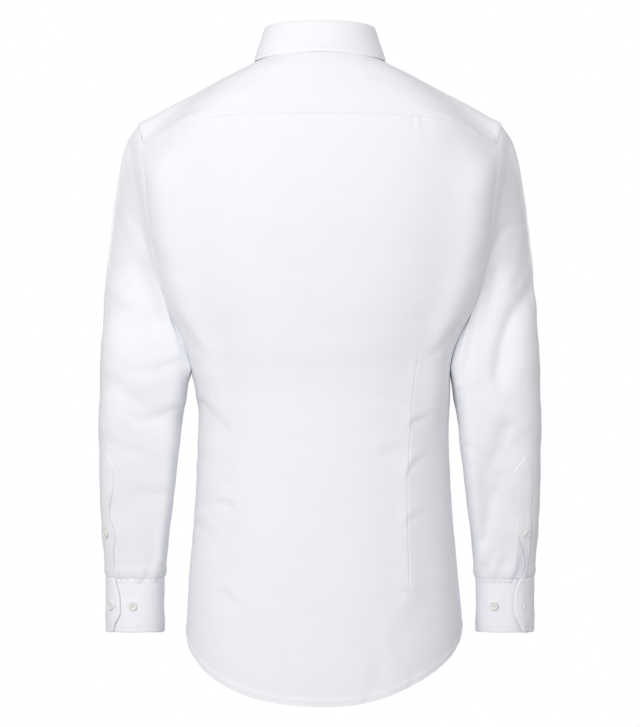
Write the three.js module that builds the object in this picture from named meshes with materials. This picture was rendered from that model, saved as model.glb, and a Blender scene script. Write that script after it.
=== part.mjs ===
// A white long sleeve dress shirt, filled out with no wearer, built as hollow cloth walls.
// Millimetres, +Z up. The wearer faces -Y, so the back is at +Y and the wearer's left at +X.
// The origin is the middle of the neck opening, at the height of the shoulder line's neck end.

import * as THREE from 'three';

// Walls and clearances
const CLOTH = 1.2;
const BAND_CLOTH = 1.0;
const LEAF_CLOTH = 1.6;
const STAND_CLOTH = 1.8;
const CUFF_CLOTH = 2.2;
const SEAM_GAP = 0.3;
const SEAM_TRIM = 0.17;
const LAID_ON = 2;

// Body panels
const FRONT_LAP = 16;
const LAP_DROP = 2.1;
const FRONT_YOKE_ANGLE = -15.5;
const UNDERARM = -322;
const SHOULDER = -77;
const NECK = 2;
const BACK_COLUMNS = 18;
const FRONT_COLUMNS = 10;
const ARMHOLE_STEPS = 10;
const SHOULDER_STEPS = 3;
const BODY_ROWS = 13;
const YOKE_ROWS = 5;

// Sleeves, cuffs and their openings. Angles run from the outer side towards the back.
const CUFF_TOP = -621.5;
const CUFF_BOTTOM = -686;
const CUFF_HALF_WIDTH = 34.6;
const CUFF_HALF_DEPTH = 39;
const CUFF_CENTRE = { x: 222.3, y: -30 };
const CUFF_UNDERLAP = 55;
const CUFF_CORNER = 9;
const SLIT_HALF_ANGLE = 2.2;
const SLIT_TOP = 7.75;
const GAUNTLET_TOP = 7.22;
const GAUNTLET_TIP = 6.98;
const SIDES = [
  { name: 'left', mirror: 1, slit: 50 },
  { name: 'right', mirror: -1, slit: 70 },
];

// Buttons
const FRONT_BUTTON = { radius: 5, height: 2.4 };
const CUFF_BUTTON = { radius: 5.3, height: 2.6 };
const PLACKET_BUTTON = { radius: 4.3, height: 2.2 };
const FRONT_BUTTON_HEIGHTS = [-112, -202, -292, -382, -472, -562];

// A table's rows as objects, by the names of its columns.
function table(columns, rows) {
  return rows.map((row) => Object.fromEntries(columns.map((column, i) => [column, row[i]])));
}

// Rings of the body. side, back and front are heights, half is the half width, and
// square is the exponent of the oval: 2 is an ellipse, and more is squarer.
// round softens the change of height at the side, dip lowers the shoulder corners.
const BODY_COLUMNS = ['side', 'back', 'front', 'half', 'toBack', 'toFront', 'square', 'round', 'dip', 'shift'];
const BODY_RINGS = table(BODY_COLUMNS, [
  [-683, -766, -752, 165, 112, 116, 2.3, 0.06, 0, -4.5],
  [-655, -722, -713, 163.5, 113, 117, 2.3, 0.1, 0, -4.5],
  [-615, -658, -653, 160.5, 113, 117, 2.3, 0.3, 0, -4.5],
  [-560, -580, -577, 155.5, 112, 116, 2.3, 1, 0, -4.5],
  [-500, -505, -504, 151.5, 110, 114, 2.3, 1, 0, -4.5],
  [-440, -440, -440, 149.5, 109, 113, 2.3, 1, 0, -4],
  [-400, -400, -400, 150, 110, 115, 2.3, 1, 0, -2.5],
  [-371, -371, -371, 154, 113, 118, 2.3, 1, 0, -1],
  [-345, -345, -345, 163.5, 117, 121, 2.3, 1, 0, 0],
  [-322, -322, -322, 174, 119, 123, 2.3, 1, 0, 0],
  [-284, -284, -284, 191, 122, 125, 2.3, 1, 0, 0],
  [-257, -257, -258, 200, 123, 126, 2.3, 1, 0, 0],
  [-206, -206, -209, 210.5, 124, 125, 2.3, 1, 0, 0],
  [-160, -157, -167, 215.5, 121, 121, 2.35, 2, -3, 0],
  [-110, -101, -124, 219, 112, 111, 2.5, 3, -10, 0],
  [-77, -63.5, -95, 218, 101, 102, 2.6, 3, -19, 0],
  [-54, -40, -86, 180, 94, 97, 2.5, 3, -13, 0],
  [-40, -25, -80, 150, 87, 93, 2.4, 3, -9, 0],
  [-20, -7, -71, 114, 76, 87, 2.3, 3, -4, 0],
  [2, 9, -62, 68, 60, 80, 2.15, 3, 0, 0],
]);

// Where the armhole cuts the rings, in degrees from the side, against the share of its height.
const ARMHOLE = table(['rise', 'back', 'front'], [
  [0, 0, 0],
  [0.263, 9.5, 12],
  [0.394, 14.5, 18.5],
  [0.515, 17.1, 22.5],
  [0.688, 18.4, 25],
  [0.813, 18.6, 25],
  [0.93, 16.8, 21.5],
  [1, 12.7, 15.5],
]);

// Rings of the left sleeve, from the armhole to the cuff seam.
const SLEEVE_RINGS = table(['along', 'outerX', 'outerZ', 'innerX', 'innerZ', 'middleY', 'depth', 'square'], [
  [0, 218, -77, 174, -322, 0, 45, 2.2],
  [1, 235, -108, 170.4, -337, -1, 50, 2.2],
  [2, 245, -160, 164.6, -353, -2, 56, 2.2],
  [3, 252, -225, 159.2, -370, -3, 60, 2.2],
  [4, 258, -288, 159.6, -394, -4, 61, 2.2],
  [5, 262, -350, 165, -428, -6, 60, 2.2],
  [6, 264.5, -410, 168.5, -460, -9, 58, 2.2],
  [7, 265.3, -470, 172.5, -492, -14, 54, 2.2],
  [8, 263.3, -540, 178.5, -541, -21, 48, 2.1],
  [9, 260, -590, 184.5, -590, -27, 43, 2.1],
  [10, 257.6, -621, 187, -621, -30, 40, 2.1],
]);
const SLEEVE_ROWS = [0, 0.45, 1, 1.6, 2.2, 2.8, 3.4, 4, 4.6, 5.2, 5.8, 6.4, 7.05, SLIT_TOP, 8.5, 9.25, 10];
const SLEEVE_FADE = 2.6;

// The largest folds. face is 1 at the back and -1 at the front, path holds x and z.
const BODY_FOLDS = [
  { face: 1, path: [[116, -330], [114, -440], [113, -540], [114, -640]], width: 15, depth: -5 },
  { face: 1, path: [[-116, -330], [-108, -402], [-103, -500], [-104, -640]], width: 15, depth: -6 },
  { face: 1, path: [[168, -324], [140, -356]], width: 12, depth: -4 },
  { face: 1, path: [[-168, -324], [-140, -356]], width: 12, depth: -4 },
  { face: 1, path: [[146, -414], [118, -443]], width: 13, depth: -4 },
  { face: -1, path: [[158, -336], [110, -372]], width: 15, depth: -5 },
  { face: -1, path: [[-158, -336], [-104, -380]], width: 15, depth: -5 },
  { face: -1, path: [[150, -440], [96, -452]], width: 14, depth: -4 },
  { face: -1, path: [[-152, -452], [-92, -436]], width: 14, depth: -4 },
];
const SLEEVE_FOLDS = {
  left: [
    { face: 1, path: [[214, -246], [206, -285], [192, -322]], width: 11, depth: -6 },
    { face: 1, path: [[252, -300], [222, -318], [198, -312]], width: 18, depth: -4 },
    { face: 1, path: [[240, -392], [205, -424], [178, -430]], width: 15, depth: -4 },
    { face: -1, path: [[248, -330], [212, -372], [176, -392]], width: 15, depth: -6 },
    { face: -1, path: [[250, -430], [206, -452], [180, -458]], width: 14, depth: -5 },
    { face: -1, path: [[228, -150], [200, -205]], width: 14, depth: -4 },
  ],
  right: [
    { face: 1, path: [[210, -250], [203, -285], [190, -322]], width: 11, depth: -4 },
    { face: 1, path: [[254, -269], [224, -317], [212, -377]], width: 14, depth: -6 },
    { face: 1, path: [[222, -440], [203, -492], [196, -539], [192, -572]], width: 10, depth: -4 },
    { face: -1, path: [[250, -318], [210, -366], [178, -386]], width: 15, depth: -6 },
    { face: -1, path: [[250, -418], [206, -446], [178, -450]], width: 14, depth: -5 },
    { face: -1, path: [[230, -160], [202, -214]], width: 14, depth: -4 },
  ],
};

// Rings of the collar. A collar ring is read by the same angles as the body's.
const STAND_RINGS = table(['rise', 'back', 'side', 'front', 'half', 'toBack', 'toFront'], [
  [0, 9, 2, -62, 68, 60, 80],
  [1, 39.5, 36, -33, 59.5, 51, 75],
]);
const LEAF_RINGS = table(['rise', 'back', 'side', 'front', 'half', 'toBack', 'toFront', 'end'], [
  [0, 41, 37.6, -31, 60.1, 51.6, 75.8, 3],
  [0.12, 42.8, 39.8, -31.6, 63.9, 55.5, 80.5, 4],
  [0.55, 26, 21, -54, 71.5, 63, 92, 14],
  [1, 7.4, 2.2, -84, 78.4, 69.5, 108, 27],
]);
const COLLAR_SQUARE = 2.15;

const WHITE_COTTON = { color: 0xe8eaf2, roughness: 0.78, metalness: 0 };
const UNDER_COTTON = { color: 0xd9deec, roughness: 0.8, metalness: 0 };
const SHELL_BUTTON = { color: 0xe4e1d6, roughness: 0.35, metalness: 0 };

const radians = THREE.MathUtils.degToRad;
const degrees = THREE.MathUtils.radToDeg;
const group = new THREE.Group();

// A smooth curve through a table's rows that never swings past them.
function smoothCurve(rows, key, column) {
  const xs = rows.map((row) => row[key]);
  const ys = rows.map((row) => row[column]);
  const steps = xs.slice(1).map((x, i) => x - xs[i]);
  const slopes = steps.map((step, i) => (ys[i + 1] - ys[i]) / step);
  const tangents = xs.map((_, i) => {
    const before = slopes[Math.max(i - 1, 0)];
    const after = slopes[Math.min(i, slopes.length - 1)];
    return before * after <= 0 ? 0 : 2 * before * after / (before + after);
  });
  return (x) => {
    let i = 0;
    while (i < steps.length - 1 && x > xs[i + 1]) i += 1;
    const t = (x - xs[i]) / steps[i];
    const t2 = t * t;
    const t3 = t2 * t;
    return ys[i] * (2 * t3 - 3 * t2 + 1) + ys[i + 1] * (3 * t2 - 2 * t3)
      + steps[i] * (tangents[i] * (t3 - 2 * t2 + t) + tangents[i + 1] * (t3 - t2));
  };
}

// A reader that gives every column of a table at one value of its key.
function tableReader(rows, key) {
  const columns = Object.keys(rows[0]).map((column) => [column, smoothCurve(rows, key, column)]);
  return (x) => Object.fromEntries(columns.map(([column, curve]) => [column, curve(x)]));
}

const bodyRing = tableReader(BODY_RINGS, 'side');
const armholeAt = tableReader(ARMHOLE, 'rise');
const sleeveRing = tableReader(SLEEVE_RINGS, 'along');
const standRing = tableReader(STAND_RINGS, 'rise');
const leafRing = tableReader(LEAF_RINGS, 'rise');

function signedPower(value, power) {
  return Math.sign(value) * Math.abs(value) ** power;
}

function smoothStep(from, to, x) {
  return THREE.MathUtils.smoothstep(x, from, to);
}

// How far from the side height to the back or front height a ring has come.
function arch(s, round) {
  return (Math.hypot(s, round) - round) / (Math.hypot(1, round) - round);
}

function shoulderCorner(s) {
  return 89.9 * s ** 2 * (1 - s) ** 6;
}

function distanceToPath(x, z, path) {
  let nearest = Infinity;
  for (let i = 1; i < path.length; i += 1) {
    const [ax, az] = path[i - 1];
    const [bx, bz] = path[i];
    const length2 = (bx - ax) ** 2 + (bz - az) ** 2;
    const t = THREE.MathUtils.clamp(((x - ax) * (bx - ax) + (z - az) * (bz - az)) / length2, 0, 1);
    nearest = Math.min(nearest, Math.hypot(x - ax - t * (bx - ax), z - az - t * (bz - az)));
  }
  return nearest;
}

// The height of all folds at a point of the cloth, as seen from the back or the front.
function foldHeight(point, middleY, folds) {
  let height = 0;
  for (const fold of folds) {
    const facing = THREE.MathUtils.clamp(0.5 + fold.face * (point.y - middleY) / 30, 0, 1);
    const distance = distanceToPath(point.x, point.z, fold.path);
    height += facing * fold.depth * Math.exp(-((distance / fold.width) ** 2));
  }
  return height;
}

// A point of the body's cloth, by its height at the side and its angle from +X towards the back.
function body(side, angle) {
  const ring = bodyRing(side);
  const c = Math.cos(radians(angle));
  const s = Math.sin(radians(angle));
  const power = 2 / ring.square;
  const depth = s >= 0 ? ring.toBack : ring.toFront;
  const end = s >= 0 ? ring.back : ring.front;
  const point = new THREE.Vector3(
    ring.shift + ring.half * signedPower(c, power),
    depth * signedPower(s, power),
    side + (end - side) * arch(Math.abs(s), ring.round) + ring.dip * shoulderCorner(Math.abs(s)));
  const out = new THREE.Vector3(c / ring.half, s / depth, 0).normalize();
  return point.addScaledVector(out, foldHeight(point, 0, BODY_FOLDS));
}

function bodyNormal(side, angle) {
  const step = 1.5;
  const around = body(side, angle + 1).sub(body(side, angle - 1));
  const up = body(Math.min(side + step, NECK), angle).sub(body(side - step, angle));
  return around.cross(up).normalize();
}

// A point of the left sleeve's cloth on its rings, before it is fitted to the armhole.
function sleeveTube(along, angle, folds) {
  const ring = sleeveRing(along);
  const power = 2 / ring.square;
  const c = signedPower(Math.cos(radians(angle)), power);
  const s = signedPower(Math.sin(radians(angle)), power);
  const outer = new THREE.Vector3(ring.outerX, ring.middleY, ring.outerZ);
  const inner = new THREE.Vector3(ring.innerX, ring.middleY, ring.innerZ);
  const middle = outer.clone().add(inner).multiplyScalar(0.5);
  const reach = outer.sub(inner).multiplyScalar(0.5);
  const point = middle.clone().addScaledVector(reach, c);
  point.y += ring.depth * s;
  const out = point.clone().sub(middle).normalize();
  const settled = smoothStep(0.9, 2.4, along);
  return point.addScaledVector(out, settled * foldHeight(point, ring.middleY, folds));
}

// Heights of the body's rows between the underarm and the shoulder corner.
function armholeHeights() {
  const heights = [];
  for (let i = 0; i <= ARMHOLE_STEPS; i += 1) {
    heights.push(UNDERARM + (SHOULDER - UNDERARM) * (i / ARMHOLE_STEPS) ** 1.5);
  }
  return heights;
}

function armholeAngle(side, face) {
  const rise = Math.sqrt(THREE.MathUtils.clamp((side - UNDERARM) / (SHOULDER - UNDERARM), 0, 1));
  return armholeAt(rise)[face];
}

// The armhole's loop on the left: from the shoulder corner at the back down to the underarm,
// up the front, and over the shoulder.
function armholeLoop() {
  const heights = armholeHeights();
  const places = [];
  for (const side of [...heights].reverse()) places.push([side, armholeAngle(side, 'back')]);
  for (const side of heights.slice(1)) places.push([side, -armholeAngle(side, 'front')]);
  const from = -armholeAngle(SHOULDER, 'front');
  const to = armholeAngle(SHOULDER, 'back');
  for (let i = 1; i < SHOULDER_STEPS; i += 1) {
    places.push([SHOULDER, from + (to - from) * i / SHOULDER_STEPS]);
  }
  return places.map(([side, angle]) => {
    const lift = bodyNormal(side, angle).multiplyScalar(CLOTH + SEAM_GAP);
    return body(side, angle).add(lift);
  });
}

// Angles round the sleeve for each point of the armhole's loop, by the length along the loop.
function loopAngles(loop) {
  const lengths = [0];
  loop.forEach((point, i) => {
    lengths.push(lengths[i] + point.distanceTo(loop[(i + 1) % loop.length]));
  });
  const underarm = lengths[ARMHOLE_STEPS];
  const total = lengths[loop.length];
  const top = total - (total - lengths[2 * ARMHOLE_STEPS]) / 2;
  const offset = total - top;
  return loop.map((_, i) => {
    const length = lengths[i];
    if (length <= underarm) return 180 * (length + offset) / (underarm + offset);
    const angle = 180 + 180 * (length - underarm) / (top - underarm);
    return angle;
  });
}

// Angles at the cuff: even, but for the narrow slit of the sleeve's opening.
function cuffAngles(count, slit) {
  const angles = [];
  const rest = 360 - 2 * SLIT_HALF_ANGLE;
  for (let i = 0; i < count; i += 1) {
    angles.push(slit + SLIT_HALF_ANGLE + rest * i / (count - 1));
  }
  return angles;
}

// Grids and walls

function gridNormals(grid, wraps) {
  const last = grid[0].length - 1;
  return grid.map((row, r) => row.map((_, c) => {
    const before = wraps ? (c + last) % (last + 1) : Math.max(c - 1, 0);
    const after = wraps ? (c + 1) % (last + 1) : Math.min(c + 1, last);
    const around = row[after].clone().sub(row[before]);
    const up = grid[Math.min(r + 1, grid.length - 1)][c].clone().sub(grid[Math.max(r - 1, 0)][c]);
    return around.cross(up).normalize();
  }));
}

function moveTowards(point, target, distance) {
  return point.clone().addScaledVector(target.clone().sub(point).normalize(), distance);
}

// Draws the named edges of a grid back from its seams.
function trimmed(grid, edges) {
  const rows = grid.length;
  const columns = grid[0].length;
  const out = grid.map((row) => row.map((point) => point.clone()));
  if (edges.includes('first')) out[0] = out[0].map((p, c) => moveTowards(p, grid[1][c], SEAM_TRIM));
  if (edges.includes('last')) {
    out[rows - 1] = out[rows - 1].map((p, c) => moveTowards(p, grid[rows - 2][c], SEAM_TRIM));
  }
  for (const row of out) {
    if (edges.includes('start')) row[0] = moveTowards(row[0], row[1], SEAM_TRIM);
    if (edges.includes('end')) row[columns - 1] = moveTowards(row[columns - 1], row[columns - 2], SEAM_TRIM);
  }
  return out;
}

// A closed wall of cloth over a grid of points, with its rims. skip leaves cells open,
// and lift moves the whole wall out along the normals.
function clothWall(grid, normals, thickness, { wraps = false, skip = () => false, lift = 0 } = {}) {
  const columns = grid[0].length;
  const positions = [];
  const indices = [];
  const numbers = new Map();
  const middle = Math.floor(grid.length / 2);
  const probe = grid[middle][1].clone().sub(grid[middle][0]);
  probe.cross(grid[middle - 1][0].clone().sub(grid[middle][0])).negate();
  const turned = probe.dot(normals[middle][0]) < 0;

  function vertex(r, c, face) {
    const key = `${r},${c},${face}`;
    if (!numbers.has(key)) {
      const point = grid[r][c].clone().addScaledVector(normals[r][c], lift + face * thickness / 2);
      numbers.set(key, positions.length / 3);
      positions.push(point.x, point.y, point.z);
    }
    return numbers.get(key);
  }

  function triangle(corners) {
    const outer = corners.map(([r, c]) => vertex(r, c, 1));
    const inner = corners.map(([r, c]) => vertex(r, c, -1));
    indices.push(...(turned ? [...outer].reverse() : outer));
    indices.push(...(turned ? inner : [...inner].reverse()));
  }

  const edges = new Map();
  const lastColumn = wraps ? columns : columns - 1;
  for (let r = 0; r < grid.length - 1; r += 1) {
    for (let c = 0; c < lastColumn; c += 1) {
      if (skip(r, c)) continue;
      const next = (c + 1) % columns;
      const corners = [[r, c], [r, next], [r + 1, next], [r + 1, c]];
      const [a, b, d, e] = corners.map(([i, j]) => grid[i][j]);
      const split = a.distanceTo(d) <= b.distanceTo(e);
      const cells = split ? [[0, 1, 2], [0, 2, 3]] : [[0, 1, 3], [1, 2, 3]];
      for (const cell of cells) triangle(cell.map((i) => corners[i]));
      corners.forEach((corner, i) => {
        const other = corners[(i + 1) % 4];
        const back = `${other}|${corner}`;
        if (edges.has(back)) edges.delete(back);
        else edges.set(`${corner}|${other}`, [corner, other]);
      });
    }
  }
  for (const [from, to] of edges.values()) {
    const rim = [vertex(...to, 1), vertex(...from, 1), vertex(...from, -1), vertex(...to, -1)];
    const [p, q, r, s] = turned ? rim.reverse() : rim;
    indices.push(p, q, r, p, r, s);
  }
  const geometry = new THREE.BufferGeometry();
  geometry.setAttribute('position', new THREE.Float32BufferAttribute(positions, 3));
  geometry.setIndex(indices);
  return geometry;
}

function mirrored(geometry, mirror) {
  if (mirror > 0) return geometry;
  const flipped = geometry.clone();
  flipped.scale(-1, 1, 1);
  const index = flipped.getIndex();
  for (let i = 0; i < index.count; i += 3) {
    const first = index.getX(i);
    index.setX(i, index.getX(i + 2));
    index.setX(i + 2, first);
  }
  return flipped;
}

function addPiece(name, geometry, finish) {
  geometry.computeVertexNormals();
  const mesh = new THREE.Mesh(geometry, new THREE.MeshStandardMaterial(finish));
  mesh.name = name;
  group.add(mesh);
  return mesh;
}

function range(from, to, steps) {
  return Array.from({ length: steps + 1 }, (_, i) => from + (to - from) * i / steps);
}

// Body panels

function bodyHeights() {
  const lower = range(BODY_RINGS[0].side, UNDERARM, BODY_ROWS);
  return [...lower, ...armholeHeights().slice(1)];
}

function sideLimit(side, face) {
  return side <= UNDERARM ? 0 : armholeAngle(side, face);
}

function panelFrom(heights, anglesAt, shape = body) {
  const grid = heights.map((side) => anglesAt(side).map((angle) => shape(side, angle)));
  const normals = heights.map((side) => anglesAt(side).map((angle) => bodyNormal(side, angle)));
  return { grid, normals };
}

function backAngles(side) {
  const limit = sideLimit(side, 'back');
  return range(limit, 180 - limit, BACK_COLUMNS);
}

function addBack() {
  const { grid, normals } = panelFrom(bodyHeights(), backAngles);
  addPiece('back', clothWall(trimmed(grid, ['last', 'start', 'end']), normals, CLOTH), WHITE_COTTON);
}

const YOKE_HEIGHTS = [SHOULDER, -64, -50, -36, -18, NECK].slice(0, YOKE_ROWS + 1);

function yokeAngles() {
  const corner = armholeAngle(SHOULDER, 'back');
  const over = range(FRONT_YOKE_ANGLE, corner, SHOULDER_STEPS);
  const across = backAngles(SHOULDER).slice(1);
  const down = range(180 - corner, 180 - FRONT_YOKE_ANGLE, SHOULDER_STEPS).slice(1);
  return [...over, ...across, ...down];
}

function addYoke() {
  const { grid, normals } = panelFrom(YOKE_HEIGHTS, yokeAngles);
  const panel = trimmed(grid, ['first', 'start', 'end']);
  addPiece('yoke', clothWall(panel, normals, CLOTH), WHITE_COTTON);
}

// The angle at which a ring is a given distance past the centre front, on the other side.
function lapAngle(side) {
  const ring = bodyRing(side);
  return 90 + degrees(Math.asin(((FRONT_LAP + ring.shift) / ring.half) ** (ring.square / 2)));
}

function frontAngles(side) {
  const limit = side >= SHOULDER ? -FRONT_YOKE_ANGLE : sideLimit(side, 'front');
  return range(-limit, -lapAngle(side), FRONT_COLUMNS);
}

// The right front lies under the left one, so it is drawn in behind the lap.
function rightFront(side, angle) {
  const point = body(side, 180 - angle);
  const under = smoothStep(-48, -20, point.x);
  return point.addScaledVector(bodyNormal(side, 180 - angle), -LAP_DROP * under);
}

function addFronts() {
  const heights = [...bodyHeights(), ...YOKE_HEIGHTS.slice(1)];
  const left = panelFrom(heights, frontAngles);
  addPiece('left_front', clothWall(trimmed(left.grid, ['start']), left.normals, CLOTH), WHITE_COTTON);
  const grid = heights.map((side) => frontAngles(side).map((angle) => rightFront(side, angle)));
  const normals = heights.map((side) => frontAngles(side).map((angle) => bodyNormal(side, 180 - angle)));
  addPiece('right_front', clothWall(trimmed(grid, ['start']), normals, CLOTH), WHITE_COTTON);
}

// Sleeves

const loop = armholeLoop();
const upperAngles = loopAngles(loop);

function sleeveGrid(side) {
  const folds = SLEEVE_FOLDS[side.name];
  const even = cuffAngles(loop.length, side.slit);
  // The column that starts behind the slit is the one whose upper angle comes next after it.
  const first = upperAngles.findIndex((angle) => angle > side.slit + SLIT_HALF_ANGLE);
  const lower = loop.map((_, k) => {
    const turn = (k - first + loop.length) % loop.length;
    const angle = even[turn];
    return angle - 360 * Math.round((angle - upperAngles[k]) / 360);
  });
  const grid = SLEEVE_ROWS.map((along) => loop.map((start, k) => {
    const angle = THREE.MathUtils.lerp(upperAngles[k], lower[k], smoothStep(3, SLIT_TOP, along));
    const point = sleeveTube(along, angle, folds);
    const fade = Math.max(1 - along / SLEEVE_FADE, 0) ** 2;
    return point.addScaledVector(start.clone().sub(sleeveTube(0, upperAngles[k], folds)), fade);
  }));
  return { grid, slitColumn: (first - 1 + loop.length) % loop.length };
}

function addSleeve(side) {
  const { grid, slitColumn } = sleeveGrid(side);
  const normals = gridNormals(grid, true).map((row) => row.map((normal) => normal.negate()));
  const skip = (row, column) => column === slitColumn && SLEEVE_ROWS[row] >= SLIT_TOP;
  const wall = clothWall(grid, normals, CLOTH, { wraps: true, skip });
  addPiece(`${side.name}_sleeve`, mirrored(wall, side.mirror), WHITE_COTTON);
}

// A strip that lies along the sleeve's opening, between two angles.
function openingStrip(side, rows, angles) {
  const folds = SLEEVE_FOLDS[side.name];
  const grid = rows.map((row) => angles(row).map((angle) => sleeveTube(row, angle, folds)));
  const normals = gridNormals(grid, false).map((row) => row.map((normal) => normal.negate()));
  return { grid, normals };
}

function addOpeningBands(side) {
  const free = side.slit + 8;
  const stitched = side.slit - 26;
  const middle = (free + stitched) / 2;
  const rows = [...range(9.98, GAUNTLET_TOP, 8), GAUNTLET_TIP];
  const narrowing = (row) => (row < GAUNTLET_TOP ? 0.12 : 1);
  const gauntlet = openingStrip(side, rows,
    (row) => range(stitched, free, 4).map((angle) => middle + (angle - middle) * narrowing(row)));
  const top = clothWall(gauntlet.grid, gauntlet.normals, BAND_CLOTH, { lift: LAID_ON });
  addPiece(`${side.name}_sleeve_placket`, mirrored(top, side.mirror), WHITE_COTTON);
  const under = openingStrip(side, range(9.98, SLIT_TOP, 5),
    () => range(side.slit - 6, side.slit + 12, 3));
  const bottom = clothWall(under.grid, under.normals, BAND_CLOTH, { lift: -LAID_ON });
  addPiece(`${side.name}_under_placket`, mirrored(bottom, side.mirror), UNDER_COTTON);
}

// Cuffs: one strip each that winds round, with its end lapped over its start.

function cuffPoint(angle, layer, height) {
  const power = 2 / 2.1;
  return new THREE.Vector3(
    CUFF_CENTRE.x + (CUFF_HALF_WIDTH + layer) * signedPower(Math.cos(radians(angle)), power),
    CUFF_CENTRE.y + (CUFF_HALF_DEPTH + layer) * signedPower(Math.sin(radians(angle)), power),
    height);
}

const CUFF_LAYER = (CUFF_CLOTH + 0.5) / 2;

// The layer of the cuff at an angle: outermost at the free edge, innermost at the hidden end.
function cuffLayer(turned, whole) {
  const overlap = CUFF_UNDERLAP / whole;
  return CUFF_LAYER * (1 - 2 * smoothStep(overlap, 1 - overlap, turned / whole));
}

function addCuff(side) {
  const free = side.slit + 10;
  const whole = 360 + CUFF_UNDERLAP;
  const steps = 36;
  const rows = [CUFF_BOTTOM, CUFF_BOTTOM + CUFF_CORNER, (CUFF_BOTTOM + CUFF_TOP) / 2, CUFF_TOP];
  const grid = rows.map((height, r) => range(0, whole, steps).map((turned, c) => {
    const corner = r === 0 && c === 0 ? CUFF_CORNER * 0.9 : 0;
    return cuffPoint(free - turned, cuffLayer(turned, whole), height + corner);
  }));
  const normals = gridNormals(grid, false).map((row) => row.map((normal) => normal.negate()));
  addPiece(`${side.name}_cuff`, mirrored(clothWall(grid, normals, CUFF_CLOTH), side.mirror), WHITE_COTTON);
}

// Collar

function collarPoint(ring, angle) {
  const c = Math.cos(radians(angle));
  const s = Math.sin(radians(angle));
  const power = 2 / COLLAR_SQUARE;
  return new THREE.Vector3(
    ring.half * signedPower(c, power),
    (s >= 0 ? ring.toBack : ring.toFront) * signedPower(s, power),
    ring.side + ((s >= 0 ? ring.back : ring.front) - ring.side) * s * s);
}

function collarLapAngle(half) {
  return 90 + degrees(Math.asin((FRONT_LAP / half) ** (COLLAR_SQUARE / 2)));
}

// The band that stands on the neck seam. Its left end laps over its right end.
function addCollarStand() {
  const reach = collarLapAngle(64);
  const grid = range(0, 1, 3).map((rise) => range(-reach, 180 + reach, 40).map((angle) => {
    const point = collarPoint(standRing(rise), angle);
    const lap = smoothStep(62, 78, angle < 90 ? -angle : angle - 180);
    const out = new THREE.Vector3(point.x, point.y, 0).normalize();
    point.addScaledVector(out, (angle < 90 ? 1.25 : -1.25) * lap);
    point.z += 1.6 * (1 - rise);
    return point;
  }));
  addPiece('collar_stand', clothWall(grid, gridNormals(grid, false), STAND_CLOTH), WHITE_COTTON);
}

// The turned-down leaf. It hangs from just above the stand and ends in two points.
function addCollarLeaf() {
  const grid = [1, 0.78, 0.55, 0.3, 0.12, 0].map((rise) => {
    const ring = leafRing(rise);
    const reach = 90 - ring.end;
    return range(-reach, 180 + reach, 40).map((angle) => {
      const point = collarPoint(ring, angle);
      const tip = smoothStep(40, reach, angle < 90 ? -angle : angle - 180);
      point.z -= 10 * tip * rise ** 2;
      return point;
    });
  });
  addPiece('collar_leaf', clothWall(grid, gridNormals(grid, false), LEAF_CLOTH), WHITE_COTTON);
}

// Buttons: round discs with a raised rim.

function buttonGeometry({ radius, height }) {
  const profile = [
    [0, 0], [radius * 0.72, 0], [radius, height * 0.4], [radius * 0.94, height],
    [radius * 0.68, height], [radius * 0.55, height * 0.72], [0, height * 0.72],
  ].map(([x, y]) => new THREE.Vector2(x, y));
  return new THREE.LatheGeometry(profile, 12);
}

function addButton(name, point, normal, size, clear) {
  const mesh = addPiece(name, buttonGeometry(size), SHELL_BUTTON);
  mesh.quaternion.setFromUnitVectors(new THREE.Vector3(0, 1, 0), normal);
  mesh.position.copy(point).addScaledVector(normal, clear);
}

function addFrontButtons() {
  FRONT_BUTTON_HEIGHTS.forEach((height, i) => {
    let side = height;
    for (let pass = 0; pass < 8; pass += 1) side += height - body(side, -90).z;
    const normal = bodyNormal(side, -90);
    addButton(`front_button_${i + 1}`, body(side, -90), normal, FRONT_BUTTON, CLOTH / 2 + 0.4);
  });
  const point = collarPoint(standRing(0.5), -90);
  point.y -= 1.25;
  point.z += 0.8;
  const lower = collarPoint(standRing(0), -90);
  const upper = collarPoint(standRing(1), -90);
  const lean = new THREE.Vector3(0, -(upper.z - lower.z), upper.y - lower.y).normalize();
  addButton('stand_button', point, lean, FRONT_BUTTON, STAND_CLOTH / 2 + 0.4);
}

// The outward direction of the left sleeve's cloth at one place.
function sleeveNormal(along, angle, folds) {
  const around = sleeveTube(along, angle + 2, folds).sub(sleeveTube(along, angle - 2, folds));
  const down = sleeveTube(along + 0.1, angle, folds).sub(sleeveTube(along - 0.1, angle, folds));
  return down.cross(around).normalize();
}

function addSleeveButtons(side) {
  const folds = SLEEVE_FOLDS[side.name];
  const flip = new THREE.Vector3(side.mirror, 1, 1);
  const height = (CUFF_TOP + CUFF_BOTTOM) / 2;
  const places = [
    { name: 'cuff_button_1', angle: side.slit - 7, layer: CUFF_LAYER },
    { name: 'cuff_button_2', angle: side.slit + 37, layer: -CUFF_LAYER },
  ];
  for (const place of places) {
    const point = cuffPoint(place.angle, place.layer, height);
    const ahead = cuffPoint(place.angle + 2, place.layer, height);
    const tangent = ahead.sub(cuffPoint(place.angle - 2, place.layer, height)).normalize();
    const normal = new THREE.Vector3(tangent.y, -tangent.x, 0);
    addButton(`${side.name}_${place.name}`, point.multiply(flip), normal.multiply(flip),
      CUFF_BUTTON, CUFF_CLOTH / 2 + 0.5);
  }
  const along = 8.48;
  const angle = side.slit - 8;
  const normal = sleeveNormal(along, angle, folds);
  addButton(`${side.name}_placket_button`, sleeveTube(along, angle, folds).multiply(flip),
    normal.multiply(flip), PLACKET_BUTTON, LAID_ON + BAND_CLOTH / 2 + 0.5);
}

addBack();
addYoke();
addFronts();
addCollarStand();
addCollarLeaf();
for (const side of SIDES) {
  addSleeve(side);
  addOpeningBands(side);
  addCuff(side);
  addSleeveButtons(side);
}
addFrontButtons();

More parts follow.
